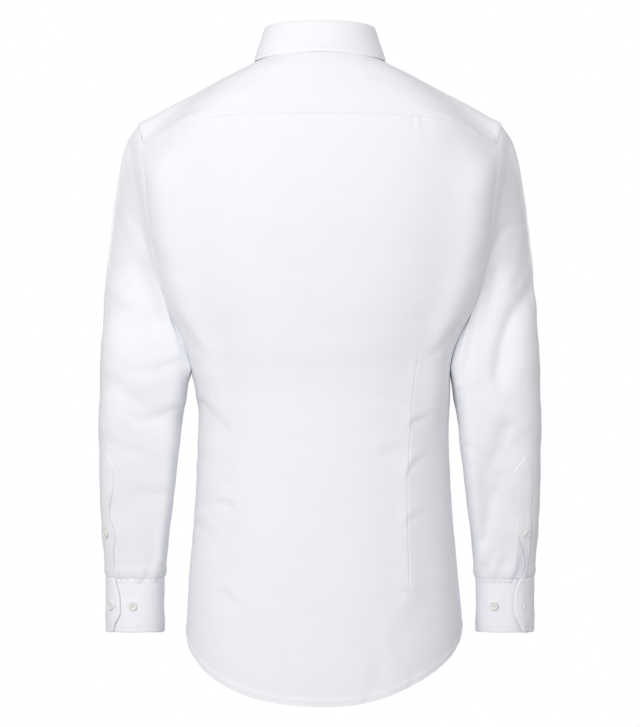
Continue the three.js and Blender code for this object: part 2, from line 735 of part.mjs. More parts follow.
export default group;
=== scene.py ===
"""A white long sleeve dress shirt, filled out with no wearer, seen from behind in soft studio light."""

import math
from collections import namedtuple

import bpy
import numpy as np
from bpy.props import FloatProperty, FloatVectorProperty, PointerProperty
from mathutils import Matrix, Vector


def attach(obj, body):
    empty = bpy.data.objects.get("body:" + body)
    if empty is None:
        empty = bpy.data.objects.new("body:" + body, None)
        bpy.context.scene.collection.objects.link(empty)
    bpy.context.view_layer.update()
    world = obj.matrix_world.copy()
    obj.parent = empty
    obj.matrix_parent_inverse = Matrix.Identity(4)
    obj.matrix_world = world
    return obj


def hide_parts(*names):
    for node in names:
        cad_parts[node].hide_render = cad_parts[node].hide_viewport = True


bl_info = {
    "name": "Dress shirt, filled out",
    "version": (1, 0, 0),
    "blender": (4, 5, 0),
    "location": "3D View > Sidebar > Shirt",
    "description": "Sews a white dress shirt: panels, collar, cuffs, plackets, buttons and stitching",
    "category": "Add Mesh",
}

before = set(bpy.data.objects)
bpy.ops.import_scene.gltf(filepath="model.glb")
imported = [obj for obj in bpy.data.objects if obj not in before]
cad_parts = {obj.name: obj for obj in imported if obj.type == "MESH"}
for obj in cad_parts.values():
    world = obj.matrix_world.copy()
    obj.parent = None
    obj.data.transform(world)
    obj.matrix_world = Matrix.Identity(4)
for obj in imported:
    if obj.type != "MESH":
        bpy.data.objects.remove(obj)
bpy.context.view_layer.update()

# All shapes are worked out in millimetres and made into meshes in metres.
METRE = 0.001

# Heights of hem, underarm, shoulder corner, yoke seam and neck at the body's side
HEM = -683.0
UNDERARM = -322.0
SHOULDER = -77.0
YOKE_EDGE = -82.4
NECK = 2.0

# The front yoke seam's angle, and the angles between which the yoke's edge drops to the yoke seam
FRONT_YOKE_ANGLE = -15.5
YOKE_DROP = (12.2, 15.5)

# The left front's reach past the centre, and how far and from where the right front dips under it
FRONT_LAP = 16.0
LAP_DROP = 2.1
LAP_EDGE = (-48, -20)

# Sleeves: how much they turn back, where the gap beside the body starts, and the flat inner side
SLEEVE_TURN = 0.36
GAP_TOP = -372.0
INNER_FLATNESS = 10.0
# Rows of the sleeve between which its hollows and its creases fade in below the armhole
HOLLOW_START = (0.9, 2.4)
CREASE_START = (0.2, 1.0)
# Where a sleeve may rest on the body: rows, reach from its inner edge, and depths in front and behind
REST_ROWS = (0.1, 4.2)
REST_REACH = (14, 5)
REST_FRONT = (-45, -25)
REST_BACK = (46, 32)
# The air that stays between the two, and the furthest that a sleeve moves in
REST_AIR = 0.35
REST_MOST = 9

# Rows of the sleeve where its slit, its placket's straight edges and its placket's point end
SLIT_TOP = 7.75
GAUNTLET_TOP = 7.22
GAUNTLET_TIP = 6.98
# The placket's width and the length of its point, for its pressed edges
GAUNTLET_WIDTH = 18.0
GAUNTLET_POINT = 9.0

# Cuffs. The wall reaches a little above the seam at CUFF_TOP, CUFF_ARC is its length per degree, and
# CUFF_LAYER is how far its upper layer lies out, and its under layer in, where the two overlap.
CUFF_TOP = -621.5
CUFF_BOTTOM = -686.0
CUFF_HEIGHT = 65.3
CUFF_ARC = 0.64
CUFF_HALF_WIDTH = 34.0
CUFF_HALF_DEPTH = 39.0
CUFF_MIDDLE = (222.3, -30.0)
CUFF_UNDERLAP = 55.0
CUFF_WALL = 2.2
CUFF_AIR = 0.5
CUFF_LAYER = (CUFF_WALL + CUFF_AIR) / 2
CUFF_OVAL = 2.45

# Collar. LEAF_FALL and LEAF_SPAN are about the leaf's height and length at its edge.
COLLAR_OVAL = 2.15
STAND_WALL = 1.8
STAND_HALF_WIDTH = 64.0
LEAF_WALL = 1.6
LEAF_FALL = 45.0
LEAF_SPAN = 290.0

# Shifts of the back's cloth, each with the place and spread that it has across the half width
BACK_FLATNESS, FLAT_PLACE, FLAT_SPREAD = 17.0, 0.92, 0.14
SHOULDER_ROUNDING, ROUND_PLACE, ROUND_SPREAD = 13.0, 0.88, 0.17
HEM_RISE, RISE_PLACE, RISE_SPREAD = 8.0, -0.75, 0.35

# Small unevenness of the cloth: height, wavelength and seed of each sort of wave
BODY_WAVES = ((0.55, 95, 3), (0.16, 34, 4))
SLEEVE_WAVES = ((0.5, 70, 8), (0.2, 26, 9))
CUFF_WAVES = ((0.35, 42, 12), (0.12, 16, 13))
LEAF_WAVES = ((0.35, 60, 15),)

# How far each row of stitches lies from its edge
HEM_STITCH = 5.2
FRONT_STITCHES = (1.2, 32)
YOKE_STITCHES = (1.3, 5.9)
YOKE_END_STITCH = 1.6
PLACKET_STITCH = 1.4
PLACKET_SECOND_STITCH = 5.0
PLACKET_BOX = 15
STAND_STITCH = 1.5
TOPSTITCH = 5.5

# Buttons, by radius and height
Button = namedtuple("Button", "radius height")
FRONT_BUTTON = Button(5.0, 2.4)
CUFF_BUTTON = Button(5.3, 2.6)
PLACKET_BUTTON = Button(4.3, 2.2)
# How far each sits off the cloth, and its sewing holes from its middle as a share of its radius
BUTTON_CLEARANCE = 0.5
BUTTON_HOLE_SPREAD = 0.225
# Places: heights on the front, angles from the slit on a cuff, and row and angle on a placket. The
# second cuff button, for a tighter wrist, lies bare beside the cuff's free end.
FRONT_BUTTON_HEIGHTS = (-112, -202, -292, -382, -472, -562)
CUFF_BUTTON_ANGLES = (-5.0, 38.5)
PLACKET_BUTTON_PLACE = (8.48, -8.0)
# How far a placket's face stands above the middle of the sleeve's cloth
PLACKET_TOP = 1.8
# Length of a buttonhole, and from one of its stitches to the next
BUTTONHOLE = 13
HOLE_STEP = 0.38
# A stitch over a button: places from hole to hole, and heights as shares of the button's
STITCH_ARCH = ((-1, 0.3), (-0.65, 0.9), (0, 0.92), (0.35, 0.9), (1, 0.3))

# Radii of the sewing thread on buttons and buttonholes, and of the weave, in metres
BUTTON_THREAD = 0.00026
HOLE_THREAD = 0.00019
WEAVE_SPACING = 0.00042
WEAVE_DEPTH = 0.00003
SLUB_DEPTH = 0.00006

# Both sleeves are shaped on the left and mirrored. slit is the angle of the opening.
Side = namedtuple("Side", "name mirror slit")
SIDES = (Side("left", 1, 50), Side("right", -1, 70))

# Rings of the body. side, back and front are heights, half is the half width, and
# square is the exponent of the oval. round softens the change of height at the side,
# dip lowers the shoulder corners, and shift moves the ring sideways.
BODY_COLUMNS = "side back front half to_back to_front square round dip shift"
BODY_RINGS = (
    (-683, -766, -752, 165, 112, 116, 2.3, 0.06, 0, -4.5),
    (-655, -722, -713, 163.5, 113, 117, 2.3, 0.1, 0, -4.5),
    (-615, -658, -653, 160.5, 113, 117, 2.3, 0.3, 0, -4.5),
    (-560, -580, -577, 155.5, 112, 116, 2.3, 1, 0, -4.5),
    (-500, -505, -504, 151.5, 110, 114, 2.3, 1, 0, -4.5),
    (-440, -440, -440, 149.5, 109, 113, 2.3, 1, 0, -4),
    (-400, -400, -400, 151.8, 110, 115, 2.3, 1, 0, -4),
    (-371, -371, -371, 155.5, 113, 118, 2.3, 1, 0, -1.3),
    (-345, -345, -345, 163.5, 117, 121, 2.3, 1, 0, 0),
    (-322, -322, -322, 174, 119, 123, 2.3, 1, 0, 0),
    (-284, -284, -284, 191, 122, 125, 2.3, 1, 0, 0),
    (-257, -257, -258, 200, 123, 126, 2.3, 1, 0, 0),
    (-206, -206, -209, 210.5, 124, 125, 2.3, 1, 0, 0),
    (-160, -157, -167, 215.5, 121, 121, 2.35, 2, -3.6, 0),
    (-110, -101, -124, 218.5, 112, 111, 2.5, 3, -12, 0),
    (-77, -63.5, -95, 217, 101, 102, 2.6, 3, -23, 0),
    (-66, -52, -90.5, 199, 97.5, 99.5, 2.55, 3, -15, 0),
    (-54, -40, -86, 178, 94, 97, 2.5, 3, -9, 0),
    (-40, -25, -80, 150, 87, 93, 2.4, 3, -5, 0),
    (-20, -6, -71, 113, 76.5, 87, 2.3, 3, -1.5, 0),
    (2, 11, -62, 68.5, 61, 80, 2.15, 3, 0, 0),
)

# Where the armhole cuts the rings, in degrees from the side, against the share of its height.
ARMHOLE_COLUMNS = "rise back front"
ARMHOLE = (
    (0, 0, 0),
    (0.263, 9.5, 12),
    (0.394, 14.5, 18.5),
    (0.515, 17.1, 22.5),
    (0.688, 18.4, 25),
    (0.813, 18.6, 25),
    (0.93, 16.8, 21.5),
    (1, 12.7, 15.5),
)

# Rings of the left sleeve, from the armhole to the cuff seam.
SLEEVE_COLUMNS = "along outer_x outer_z inner_x inner_z middle_y depth square"
SLEEVE_RINGS = (
    (0, 218, -77, 174, -322, 0, 45, 2.2),
    (1, 235, -108, 169.2, -337, -1, 50, 2.2),
    (2, 245, -160, 161.9, -352, -2, 56, 2.25),
    (3, 253.2, -225, 156.8, -369, -3, 60, 2.3),
    (4, 259.4, -288, 159.0, -394, -4, 61, 2.4),
    (5, 263, -350, 165, -428, -6, 60, 2.6),
    (6, 264.5, -410, 168.5, -460, -9, 58, 2.8),
    (7, 265.3, -470, 172.5, -492, -14, 54, 3.2),
    (8, 263.3, -540, 178.5, -541, -21, 48, 3.1),
    (9, 260, -590, 184.5, -590, -27, 43, 2.8),
    (10, 257.6, -621, 187, -621, -30, 40, 2.45),
)
SLEEVE_FADE = 2.6

# Rings of the collar's stand and leaf. end is how far the leaf stops short of the centre front.
STAND_COLUMNS = "rise back side front half to_back to_front"
STAND_RINGS = (
    (0, 9, 2, -62, 68, 60, 80),
    (1, 39.5, 36, -33, 59.5, 51, 75),
)
LEAF_COLUMNS = "rise back side front half to_back to_front end"
LEAF_RINGS = (
    (0, 42, 38, -31, 59.8, 51.6, 75.8, 3),
    (0.12, 43.9, 40.3, -31.6, 63.0, 55.5, 80.5, 4),
    (0.55, 26, 20, -54, 71, 62, 92, 14),
    (1, 6.6, -0.4, -84, 78.2, 67, 108, 27),
)

# Folds. face is 1 at the back and -1 at the front, width and depth are the trough's, and
# ridge is the height of the roll beside it, as a share of depth. start and end fade the fold
# along its path, which holds x and z.
Fold = namedtuple("Fold", "face width depth ridge start end path")
BODY_FOLDS = (
    # the hollows that the two darts leave, and the pulls behind the arms
    Fold(1, 15, -1.5, 0, 1, 1, ((116, -330), (114, -440), (113, -540), (114, -640))),
    Fold(1, 13, 2.0, 0, 0.5, 1, ((-117, -330), (-108, -402), (-103, -500), (-104, -640))),
    Fold(1, 12, -2, 0, 1, 1, ((168, -324), (140, -356))),
    Fold(1, 12, -3, 0, 1, 1, ((-168, -324), (-140, -356))),
    Fold(1, 13, -1.5, 0, 1, 1, ((146, -414), (118, -443))),
    Fold(-1, 15, -5, 0, 1, 1, ((158, -336), (110, -372))),
    Fold(-1, 15, -5, 0, 1, 1, ((-158, -336), (-104, -380))),
    Fold(-1, 14, -4, 0, 1, 1, ((150, -440), (96, -452))),
    Fold(-1, 14, -4, 0, 1, 1, ((-152, -452), (-92, -436))),
    # creases of the back, left half
    Fold(1, 5, -1.15, 0.7, 0.4, 1, ((176, -300), (158, -326), (141, -349))),
    Fold(1, 5, -1.44, 0.6, 1, 0.3, ((141, -410), (128, -424), (115, -437))),
    Fold(1, 4, -1.15, 0.6, 0.5, 1, ((136, -531), (122, -527), (106, -530))),
    Fold(1, 6, -1.08, 0.5, 1, 0.3, ((146, -556), (131, -566), (117, -579))),
    Fold(1, 4, -0.94, 0.7, 1, 0.1, ((112, -634), (98, -648), (82, -655))),
    Fold(1, 7, -1.08, 0.5, 0.6, 0.3, ((150, -470), (128, -482), (112, -486))),
    Fold(1, 8, -1.01, 0.6, 0.3, 0.5, ((96, -452), (60, -446), (24, -455))),
    Fold(1, 7, -0.72, 0.6, 0.2, 0.8, ((60, -505), (86, -498), (108, -505))),
    Fold(1, 9, -0.94, 0.5, 0.8, 0.2, ((198, -232), (176, -252), (140, -262))),
    # creases of the back, right half
    Fold(1, 5, -1.08, 0.7, 0.4, 1, ((-174, -306), (-155, -330), (-138, -350))),
    Fold(1, 4, -1.44, 0.8, 1, 0.2, ((-110, -433), (-120, -429), (-132, -424))),
    Fold(1, 4, -1.3, 0.8, 1, 0.3, ((-107, -486), (-116, -477), (-128, -470))),
    Fold(1, 5, -1.01, 0.6, 1, 0.2, ((-106, -548), (-118, -541), (-134, -536))),
    Fold(1, 4, -1.3, 0.7, 1, 0.1, ((-105, -632), (-114, -645), (-130, -652))),
    Fold(1, 4, -0.94, 0.7, 1, 0.1, ((-101, -628), (-92, -640), (-76, -645))),
    Fold(1, 7, -0.86, 0.5, 0.8, 0.2, ((-100, -412), (-76, -404), (-40, -408))),
    Fold(1, 8, -0.94, 0.6, 0.2, 0.8, ((-34, -470), (-66, -474), (-98, -462))),
    Fold(1, 9, -1.01, 0.5, 0.8, 0.2, ((-196, -236), (-172, -258), (-138, -264))),
    # soft falls below the yoke and across the shoulders
    Fold(1, 5, -1.01, 0.7, 1, 0.1, ((82, -68), (92, -80), (100, -92))),
    Fold(1, 6, -0.79, 0.6, 1, 0.1, ((-120, -74), (-128, -92), (-132, -118))),
    Fold(1, 6, -0.4, 0.5, 0.3, 1, ((24, -10), (21, -22), (18, -36))),
    Fold(1, 7, -0.45, 0.6, 1, 0.3, ((-38, -14), (-31, -38), (-24, -60))),
    Fold(1, 10, -1.3, 0.5, 0.6, 0.8, ((-59, -11), (-94, -34), (-130, -57), (-172, -78))),
    Fold(1, 9, -1.01, 0.5, 0.4, 0.6, ((66, -14), (104, -36), (146, -60))),
    # the tails
    Fold(1, 10, -1.15, 0.4, 0.3, 1, ((44, -640), (40, -690), (30, -752))),
    Fold(1, 10, -1.01, 0.4, 0.3, 1, ((-60, -650), (-66, -700), (-70, -745))),
    Fold(-1, 10, -1.15, 0.4, 0.3, 1, ((60, -640), (66, -690), (64, -735))),
    Fold(-1, 10, -1.15, 0.4, 0.3, 1, ((-66, -650), (-72, -690), (-70, -735))),
    # creases of the front
    Fold(-1, 6, -1.3, 0.6, 1, 0.2, ((160, -330), (132, -352), (84, -366))),
    Fold(-1, 6, -1.3, 0.6, 1, 0.2, ((-160, -330), (-128, -356), (-80, -376))),
    Fold(-1, 7, -1.15, 0.6, 1, 0.2, ((148, -420), (110, -430), (62, -424))),
    Fold(-1, 7, -1.15, 0.6, 1, 0.2, ((-150, -432), (-112, -424), (-58, -430))),
    Fold(-1, 6, -1.01, 0.6, 1, 0.2, ((146, -500), (112, -512), (70, -508))),
    Fold(-1, 6, -1.01, 0.6, 1, 0.2, ((-150, -516), (-110, -506), (-70, -512))),
    Fold(-1, 9, -1.15, 0.5, 0.5, 0.8, ((76, -66), (112, -96), (160, -120))),
    Fold(-1, 9, -1.15, 0.5, 0.5, 0.8, ((-76, -66), (-116, -92), (-162, -116))),
)
SLEEVE_FOLDS = {
    "left": (
        Fold(1, 9, 5, 0.01, 0.4, 0.6, ((196, -232), (190, -262), (184, -286))),
        Fold(1, 11, -4, 0, 1, 1, ((214, -246), (206, -285), (192, -322))),
        Fold(1, 18, -4, 0, 1, 1, ((252, -300), (222, -318), (198, -312))),
        Fold(1, 15, -4, 0, 1, 1, ((240, -392), (205, -424), (178, -430))),
        Fold(-1, 15, -6, 0, 1, 1, ((248, -330), (212, -372), (176, -392))),
        Fold(-1, 14, -5, 0, 1, 1, ((250, -430), (206, -452), (180, -458))),
        Fold(-1, 14, -4, 0, 1, 1, ((228, -150), (200, -205))),
        Fold(1, 7, -0.9, 0.2, 1, 0.5, ((200, -258), (198, -288), (193, -322), (186, -340))),
        Fold(1, 5, -1.16, 0.8, 0.4, 0.3, ((244, -180), (236, -204), (225, -228))),
        Fold(1, 5, -1.16, 0.8, 0.4, 0.3, ((231, -176), (217, -196), (203, -217))),
        Fold(1, 4, -1.02, 0.7, 1, 0.2, ((229, -100), (222, -110), (214, -122))),
        Fold(1, 4, -0.68, 0.7, 0.3, 0.6, ((214, -178), (206, -184), (200, -182))),
        Fold(1, 7, -1.5, 0.6, 0.7, 0.4, ((250, -286), (232, -300), (212, -304))),
        Fold(1, 7, -1.63, 0.6, 0.3, 1, ((256, -352), (228, -372), (196, -372), (168, -362))),
        Fold(1, 6, -1.36, 0.6, 0.3, 1, ((246, -414), (216, -432), (188, -428), (172, -418))),
        Fold(1, 6, -1.09, 0.6, 0.5, 0.5, ((256, -452), (236, -466), (212, -470))),
        Fold(1, 6, -1.02, 0.6, 0.3, 1, ((222, -510), (204, -522), (186, -518))),
        Fold(1, 5, -1.09, 0.6, 0.4, 1, ((198, -560), (200, -590), (206, -621))),
        Fold(1, 4, -0.88, 0.8, 0.2, 1, ((199, -590), (203, -604), (206, -616))),
        Fold(1, 5, -1.09, 0.7, 0.2, 1, ((232, -590), (230, -606), (226, -621))),
        Fold(-1, 6, -1.63, 0.6, 1, 0.4, ((254, -340), (220, -366), (180, -376))),
        Fold(-1, 6, -1.5, 0.6, 1, 0.4, ((256, -392), (224, -412), (184, -414))),
        Fold(-1, 6, -1.22, 0.6, 0.6, 0.4, ((250, -520), (222, -536), (196, -534))),
        Fold(-1, 5, -1.36, 0.7, 0.2, 1, ((214, -580), (216, -600), (212, -621))),
        Fold(-1, 5, -1.36, 0.7, 0.2, 1, ((238, -584), (236, -602), (238, -621))),
    ),
    "right": (
        Fold(1, 11, -4, 0, 1, 1, ((210, -250), (203, -285), (190, -322))),
        Fold(1, 14, -6, 0, 1, 1, ((254, -269), (224, -317), (212, -377))),
        Fold(1, 10, -4, 0, 1, 1, ((222, -440), (203, -492), (196, -539), (192, -572))),
        Fold(-1, 15, -6, 0, 1, 1, ((250, -318), (210, -366), (178, -386))),
        Fold(-1, 14, -5, 0, 1, 1, ((250, -418), (206, -446), (178, -450))),
        Fold(-1, 14, -4, 0, 1, 1, ((230, -160), (202, -214))),
        Fold(1, 8, -1.7, 0.6, 0.4, 0.6, ((226, -156), (234, -172), (228, -190), (214, -208))),
        Fold(1, 5, -1.36, 0.7, 0.5, 0.5, ((240, -192), (222, -200), (206, -212))),
        Fold(1, 6, -2.21, 0.6, 0.5, 0.4, ((250, -216), (246, -244), (236, -268))),
        Fold(1, 6, -2.04, 0.6, 0.4, 1, ((252, -272), (230, -304), (216, -340), (210, -378))),
        Fold(1, 5, -2.55, 0.5, 0.6, 1, ((186, -282), (182, -318), (176, -352), (170, -380))),
        Fold(1, 8, -1.02, 0.5, 1, 0.3, ((196, -392), (214, -410), (240, -418))),
        Fold(1, 7, -1.7, 0.5, 0.5, 0.8, ((240, -452), (228, -470), (214, -496))),
        Fold(1, 7, -1.87, 0.5, 0.8, 1, ((216, -500), (206, -530), (196, -562), (191, -588), (198, -610))),
        Fold(1, 4, -1.36, 0.7, 0.3, 1, ((226, -574), (222, -596), (213, -616))),
        Fold(1, 4, -1.87, 0.8, 0.3, 1, ((240, -596), (238, -608), (234, -621))),
        Fold(1, 5, -1.36, 0.6, 0.8, 0.3, ((176, -462), (192, -474), (206, -476))),
        Fold(-1, 6, -2.04, 0.6, 1, 0.4, ((254, -332), (222, -362), (182, -372))),
        Fold(-1, 6, -1.87, 0.6, 1, 0.4, ((256, -386), (226, -408), (184, -410))),
        Fold(-1, 6, -1.53, 0.6, 0.6, 0.4, ((252, -512), (224, -530), (198, -530))),
        Fold(-1, 5, -1.7, 0.7, 0.2, 1, ((210, -580), (212, -600), (208, -621))),
        Fold(-1, 5, -1.7, 0.7, 0.2, 1, ((236, -586), (234, -604), (236, -621))),
    ),
}
DARTS = (
    ((116, -312), (115, -382), (114, -422), (113, -465), (114, -524), (113, -559), (113, -634)),
    ((-116, -321), (-115, -347), (-112, -371), (-108, -401), (-107, -432), (-104, -465),
     (-102, -500), (-102, -535), (-103, -571), (-104, -632)),
)
DART_DEPTHS = (0.3, 0.8)
# The columns beside a dart are close together for this many degrees to either side.
DART_EDGE = 2.2

# How the free edge of each sleeve placket swings in, in degrees, against its height.
PLACKET_WAVE = {
    "left": ((-455, 7), (-490, 7.6), (-510, 7), (-526, 0), (-540, -6.5), (-554, 0), (-571, 7), (-584, 1.5),
             (-602, -1.4), (-614, -4), (-625, -7.6)),
    "right": ((-455, 4), (-500, 5), (-511, 6), (-535, 4), (-548, 0), (-564, 0), (-575, -5), (-583, -11),
              (-595, -18), (-608, -20), (-616, -17), (-625, -9)),
}
# The two edges of a placket where it lies still: the free one and the one that is sewn down
PLACKET_FREE = 8.0
PLACKET_BACK = -18.0
# The span of the band under each placket, how far it is lifted, and how far the placket gapes
UNDER_SPAN = {"left": (-8, 4), "right": (-14, 8)}
UNDER_LIFT = {"left": -1.0, "right": 1.1}
PLACKET_GAPE = {"left": 0.7, "right": 1.5}
# How the free end of each cuff swings, in degrees, against its height, and how far it stands out
CUFF_WAVE = {
    "left": ((-686, -13), (-677, -8), (-670, 1), (-663, 6), (-647, 5), (-635, 0.5), (-621, -8)),
    "right": ((-686, -18), (-679, -12), (-671, -6), (-659, -0.6), (-645, -0.6), (-633, -4), (-621, -11)),
}
CUFF_FLARE = {"left": 0.9, "right": 3.6}


# Curves through tables

def smooth_curve(xs, ys):
    """A curve through the points that never swings past them."""
    xs = np.asarray(xs, float)
    ys = np.asarray(ys, float)
    steps = np.diff(xs)
    slopes = np.diff(ys) / steps
    before = np.concatenate([slopes[:1], slopes])
    after = np.concatenate([slopes, slopes[-1:]])
    both = before * after
    total = np.where(before + after == 0, 1, before + after)
    tangents = np.where(both > 0, 2 * both / total, 0)

    def curve(x):
        x = np.asarray(x, float)
        i = np.clip(np.searchsorted(xs, x, side="right") - 1, 0, len(steps) - 1)
        t = (x - xs[i]) / steps[i]
        t2 = t * t
        t3 = t2 * t
        value = ys[i] * (2 * t3 - 3 * t2 + 1) + ys[i + 1] * (3 * t2 - 2 * t3)
        return value + steps[i] * (tangents[i] * (t3 - 2 * t2 + t) + tangents[i + 1] * (t3 - t2))

    return curve


def table_curve(pairs):
    """A curve through pairs of a height and a value."""
    return smooth_curve(*zip(*sorted(pairs)))


def table_reader(columns, rows):
    """A function that gives every column of a table at any value of its first column."""
    names = columns.split()
    Row = namedtuple("Row", names)
    values = np.asarray(rows, float)
    curves = [smooth_curve(values[:, 0], values[:, i]) for i in range(len(names))]
    return lambda x: Row(*(curve(x) for curve in curves))


body_ring = table_reader(BODY_COLUMNS, BODY_RINGS)
armhole_at = table_reader(ARMHOLE_COLUMNS, ARMHOLE)
sleeve_ring = table_reader(SLEEVE_COLUMNS, SLEEVE_RINGS)
stand_ring = table_reader(STAND_COLUMNS, STAND_RINGS)
leaf_ring = table_reader(LEAF_COLUMNS, LEAF_RINGS)


def signed_power(value, power):
    return np.sign(value) * np.abs(value) ** power


def smooth_step(start, end, x):
    t = np.clip((np.asarray(x, float) - start) / (end - start), 0, 1)
    return t * t * (3 - 2 * t)


def hump(distance, width):
    """A rounded hump: one in its middle, and close to nothing at twice its width."""
    return np.exp(-((distance / width) ** 2))


def oval(angle, square):
    """Places across and in depth on an oval of size one, squarer as square grows."""
    power = 2 / square
    return signed_power(np.cos(np.radians(angle)), power), signed_power(np.sin(np.radians(angle)), power)


def unit(vectors):
    lengths = np.linalg.norm(vectors, axis=-1, keepdims=True)
    return vectors / np.where(lengths < 1e-12, 1, lengths)


def soft_noise(points, wavelength, seed):
    """Smooth unevenness of about one unit, made of a few waves in fixed directions."""
    rng = np.random.default_rng(seed)
    total = np.zeros(points.shape[:-1])
    for _ in range(7):
        direction = unit(rng.normal(size=3))
        scale = 2 * math.pi / (wavelength * rng.uniform(0.7, 1.5))
        total += np.sin(points @ direction * scale + rng.uniform(0, 2 * math.pi))
    return total / 2.6


def unevenness(points, waves):
    """How far small waves of several sorts move each point out of the smooth cloth."""
    return sum(height * soft_noise(points, wavelength, seed) for height, wavelength, seed in waves)


def path_distance(x, z, path):
    """Distance of each place to a path, the side of it that it lies on, and how far along it is."""
    nearest = np.full(np.shape(x), np.inf)
    side = np.ones(np.shape(x))
    along = np.zeros(np.shape(x))
    lengths = [math.dist(a, b) for a, b in zip(path, path[1:])]
    done = 0.0
    for (ax, az), (bx, bz), length in zip(path, path[1:], lengths):
        dx = (bx - ax) / length
        dz = (bz - az) / length
        t = np.clip((x - ax) * dx + (z - az) * dz, 0, length)
        distance = np.hypot(x - ax - t * dx, z - az - t * dz)
        closer = distance < nearest
        nearest = np.where(closer, distance, nearest)
        side = np.where(closer, np.sign((x - ax) * dz - (z - az) * dx), side)
        along = np.where(closer, (done + t) / sum(lengths), along)
        done += length
    return nearest, side, along


def fold_heights(points, middle_y, folds):
    """How far all folds move each point out of the smooth cloth."""
    x, y, z = points[..., 0], points[..., 1], points[..., 2]
    height = np.zeros(x.shape)
    for fold in folds:
        facing = np.clip(0.5 + fold.face * (y - middle_y) / 30, 0, 1)
        distance, side, along = path_distance(x, z, fold.path)
        depth = fold.depth * (fold.start + (fold.end - fold.start) * along) * facing
        height += depth * hump(distance, fold.width)
        height -= fold.ridge * depth * hump(distance * side - 1.7 * fold.width, 1.1 * fold.width)
    return height


# The body

def arch(s, roundness):
    """Rises from nothing at the side to one in the middle, the rounder the softer at first."""
    return (np.hypot(s, roundness) - roundness) / (np.hypot(1, roundness) - roundness)


def shoulder_corner(s):
    """Nothing at the side and in the middle, and about one where the shoulder slopes most."""
    return 28.9 * s ** 2 * (1 - s) ** 3


def body_base(side, angle):
    """The body's cloth without folds: points and the level direction out of it."""
    side, angle = np.broadcast_arrays(np.asarray(side, float), np.asarray(angle, float))
    ring = body_ring(side)
    c = np.cos(np.radians(angle))
    s = np.sin(np.radians(angle))
    power = 2 / ring.square
    behind = s >= 0
    depth = np.where(behind, ring.to_back, ring.to_front)
    end = np.where(behind, ring.back, ring.front)
    size = np.abs(s)
    across = signed_power(c, power)
    back_only = smooth_step(0, 0.3, s)
    flat = BACK_FLATNESS * hump(np.abs(across) - FLAT_PLACE, FLAT_SPREAD) * back_only
    flat = flat * smooth_step(SHOULDER, SHOULDER - 60, side) * smooth_step(-480, -350, side)
    rounded = SHOULDER_ROUNDING * hump(np.abs(across) - ROUND_PLACE, ROUND_SPREAD) * back_only
    flat = flat - rounded * smooth_step(-165, -80, side) * smooth_step(-30, -66, side)
    points = np.stack([
        ring.shift + ring.half * across,
        depth * signed_power(s, power) + flat,
        side + (end - side) * arch(size, ring.round) + ring.dip * shoulder_corner(size),
    ], axis=-1)
    points[..., 2] += HEM_RISE * hump(across - RISE_PLACE, RISE_SPREAD) * smooth_step(-600, HEM, side)
    out = unit(np.stack([c / ring.half, s / depth, np.zeros(s.shape)], axis=-1))
    return points, out


def dart_height(points):
    """The sewn line of each dart: a sharp groove with the folded cloth raised beside it."""
    x, y, z = points[..., 0], points[..., 1], points[..., 2]
    height = np.zeros(x.shape)
    behind = y > 20
    for path, depth in zip(DARTS, DART_DEPTHS):
        distance, side, along = path_distance(x, z, path)
        ends = smooth_step(0, 0.2, along) * smooth_step(0, 0.04, 1 - along) * behind
        outward = -distance * side
        raised = smooth_step(-0.3, 0.9, outward) * np.exp(-np.clip(outward, 0, None) / 8)
        height -= 0.5 * depth * hump(outward, 0.7) * ends
        height += 0.7 * depth * raised * ends
        tip = np.hypot(x - path[-1][0], z - path[-1][1] + 4)
        height -= 0.9 * depth * hump(tip, 5) * behind
    return height


def yoke_pucker(points, distance):
    """Small puckers that the yoke's sewing draws into the cloth."""
    x = points[..., 0]
    waves = np.sin(x / 1.9 + 1.3 * np.sin(x / 17)) + 0.7 * np.sin(x / 3.1 + 2) + 0.5 * np.sin(x / 5.3)
    strength = 0.55 + 0.45 * np.sin(x / 23 + 0.6)
    below = np.where(distance > 0, 1.5, 7)
    return 0.5 * waves * strength * np.exp(-np.abs(distance) / below) * (points[..., 1] > 0)


def body_cloth(side, angle):
    """The body's cloth with its folds, darts, puckers and the ripple along its hem."""
    points, out = body_base(side, angle)
    height = fold_heights(points, 0, BODY_FOLDS)
    height += dart_height(points)
    height += unevenness(points, BODY_WAVES)
    height += yoke_pucker(points, (np.asarray(side, float) - YOKE_EDGE + 1.5) * 1.15)
    below_hem = (np.asarray(side, float) - HEM) * 1.1
    ripple = np.sin(points[..., 0] / 4.1) + np.sin(points[..., 0] / 2.7 + 1.1)
    height += 0.22 * ripple * np.exp(-np.abs(below_hem - 4) / 6)
    return points + out * height[..., None]


def armhole_angle(side, face):
    """The armhole's angle at these heights, on the back or the front."""
    rise = np.sqrt(np.clip((np.asarray(side, float) - UNDERARM) / (SHOULDER - UNDERARM), 0, 1))
    return getattr(armhole_at(rise), face)


def grid_normals(grid, wraps=False):
    """Directions at right angles to a grid, on the side that its rows and columns give."""
    if wraps:
        around = np.roll(grid, -1, axis=1) - np.roll(grid, 1, axis=1)
    else:
        around = np.gradient(grid, axis=1)
    along = np.gradient(grid, axis=0)
    return unit(np.cross(around, along))


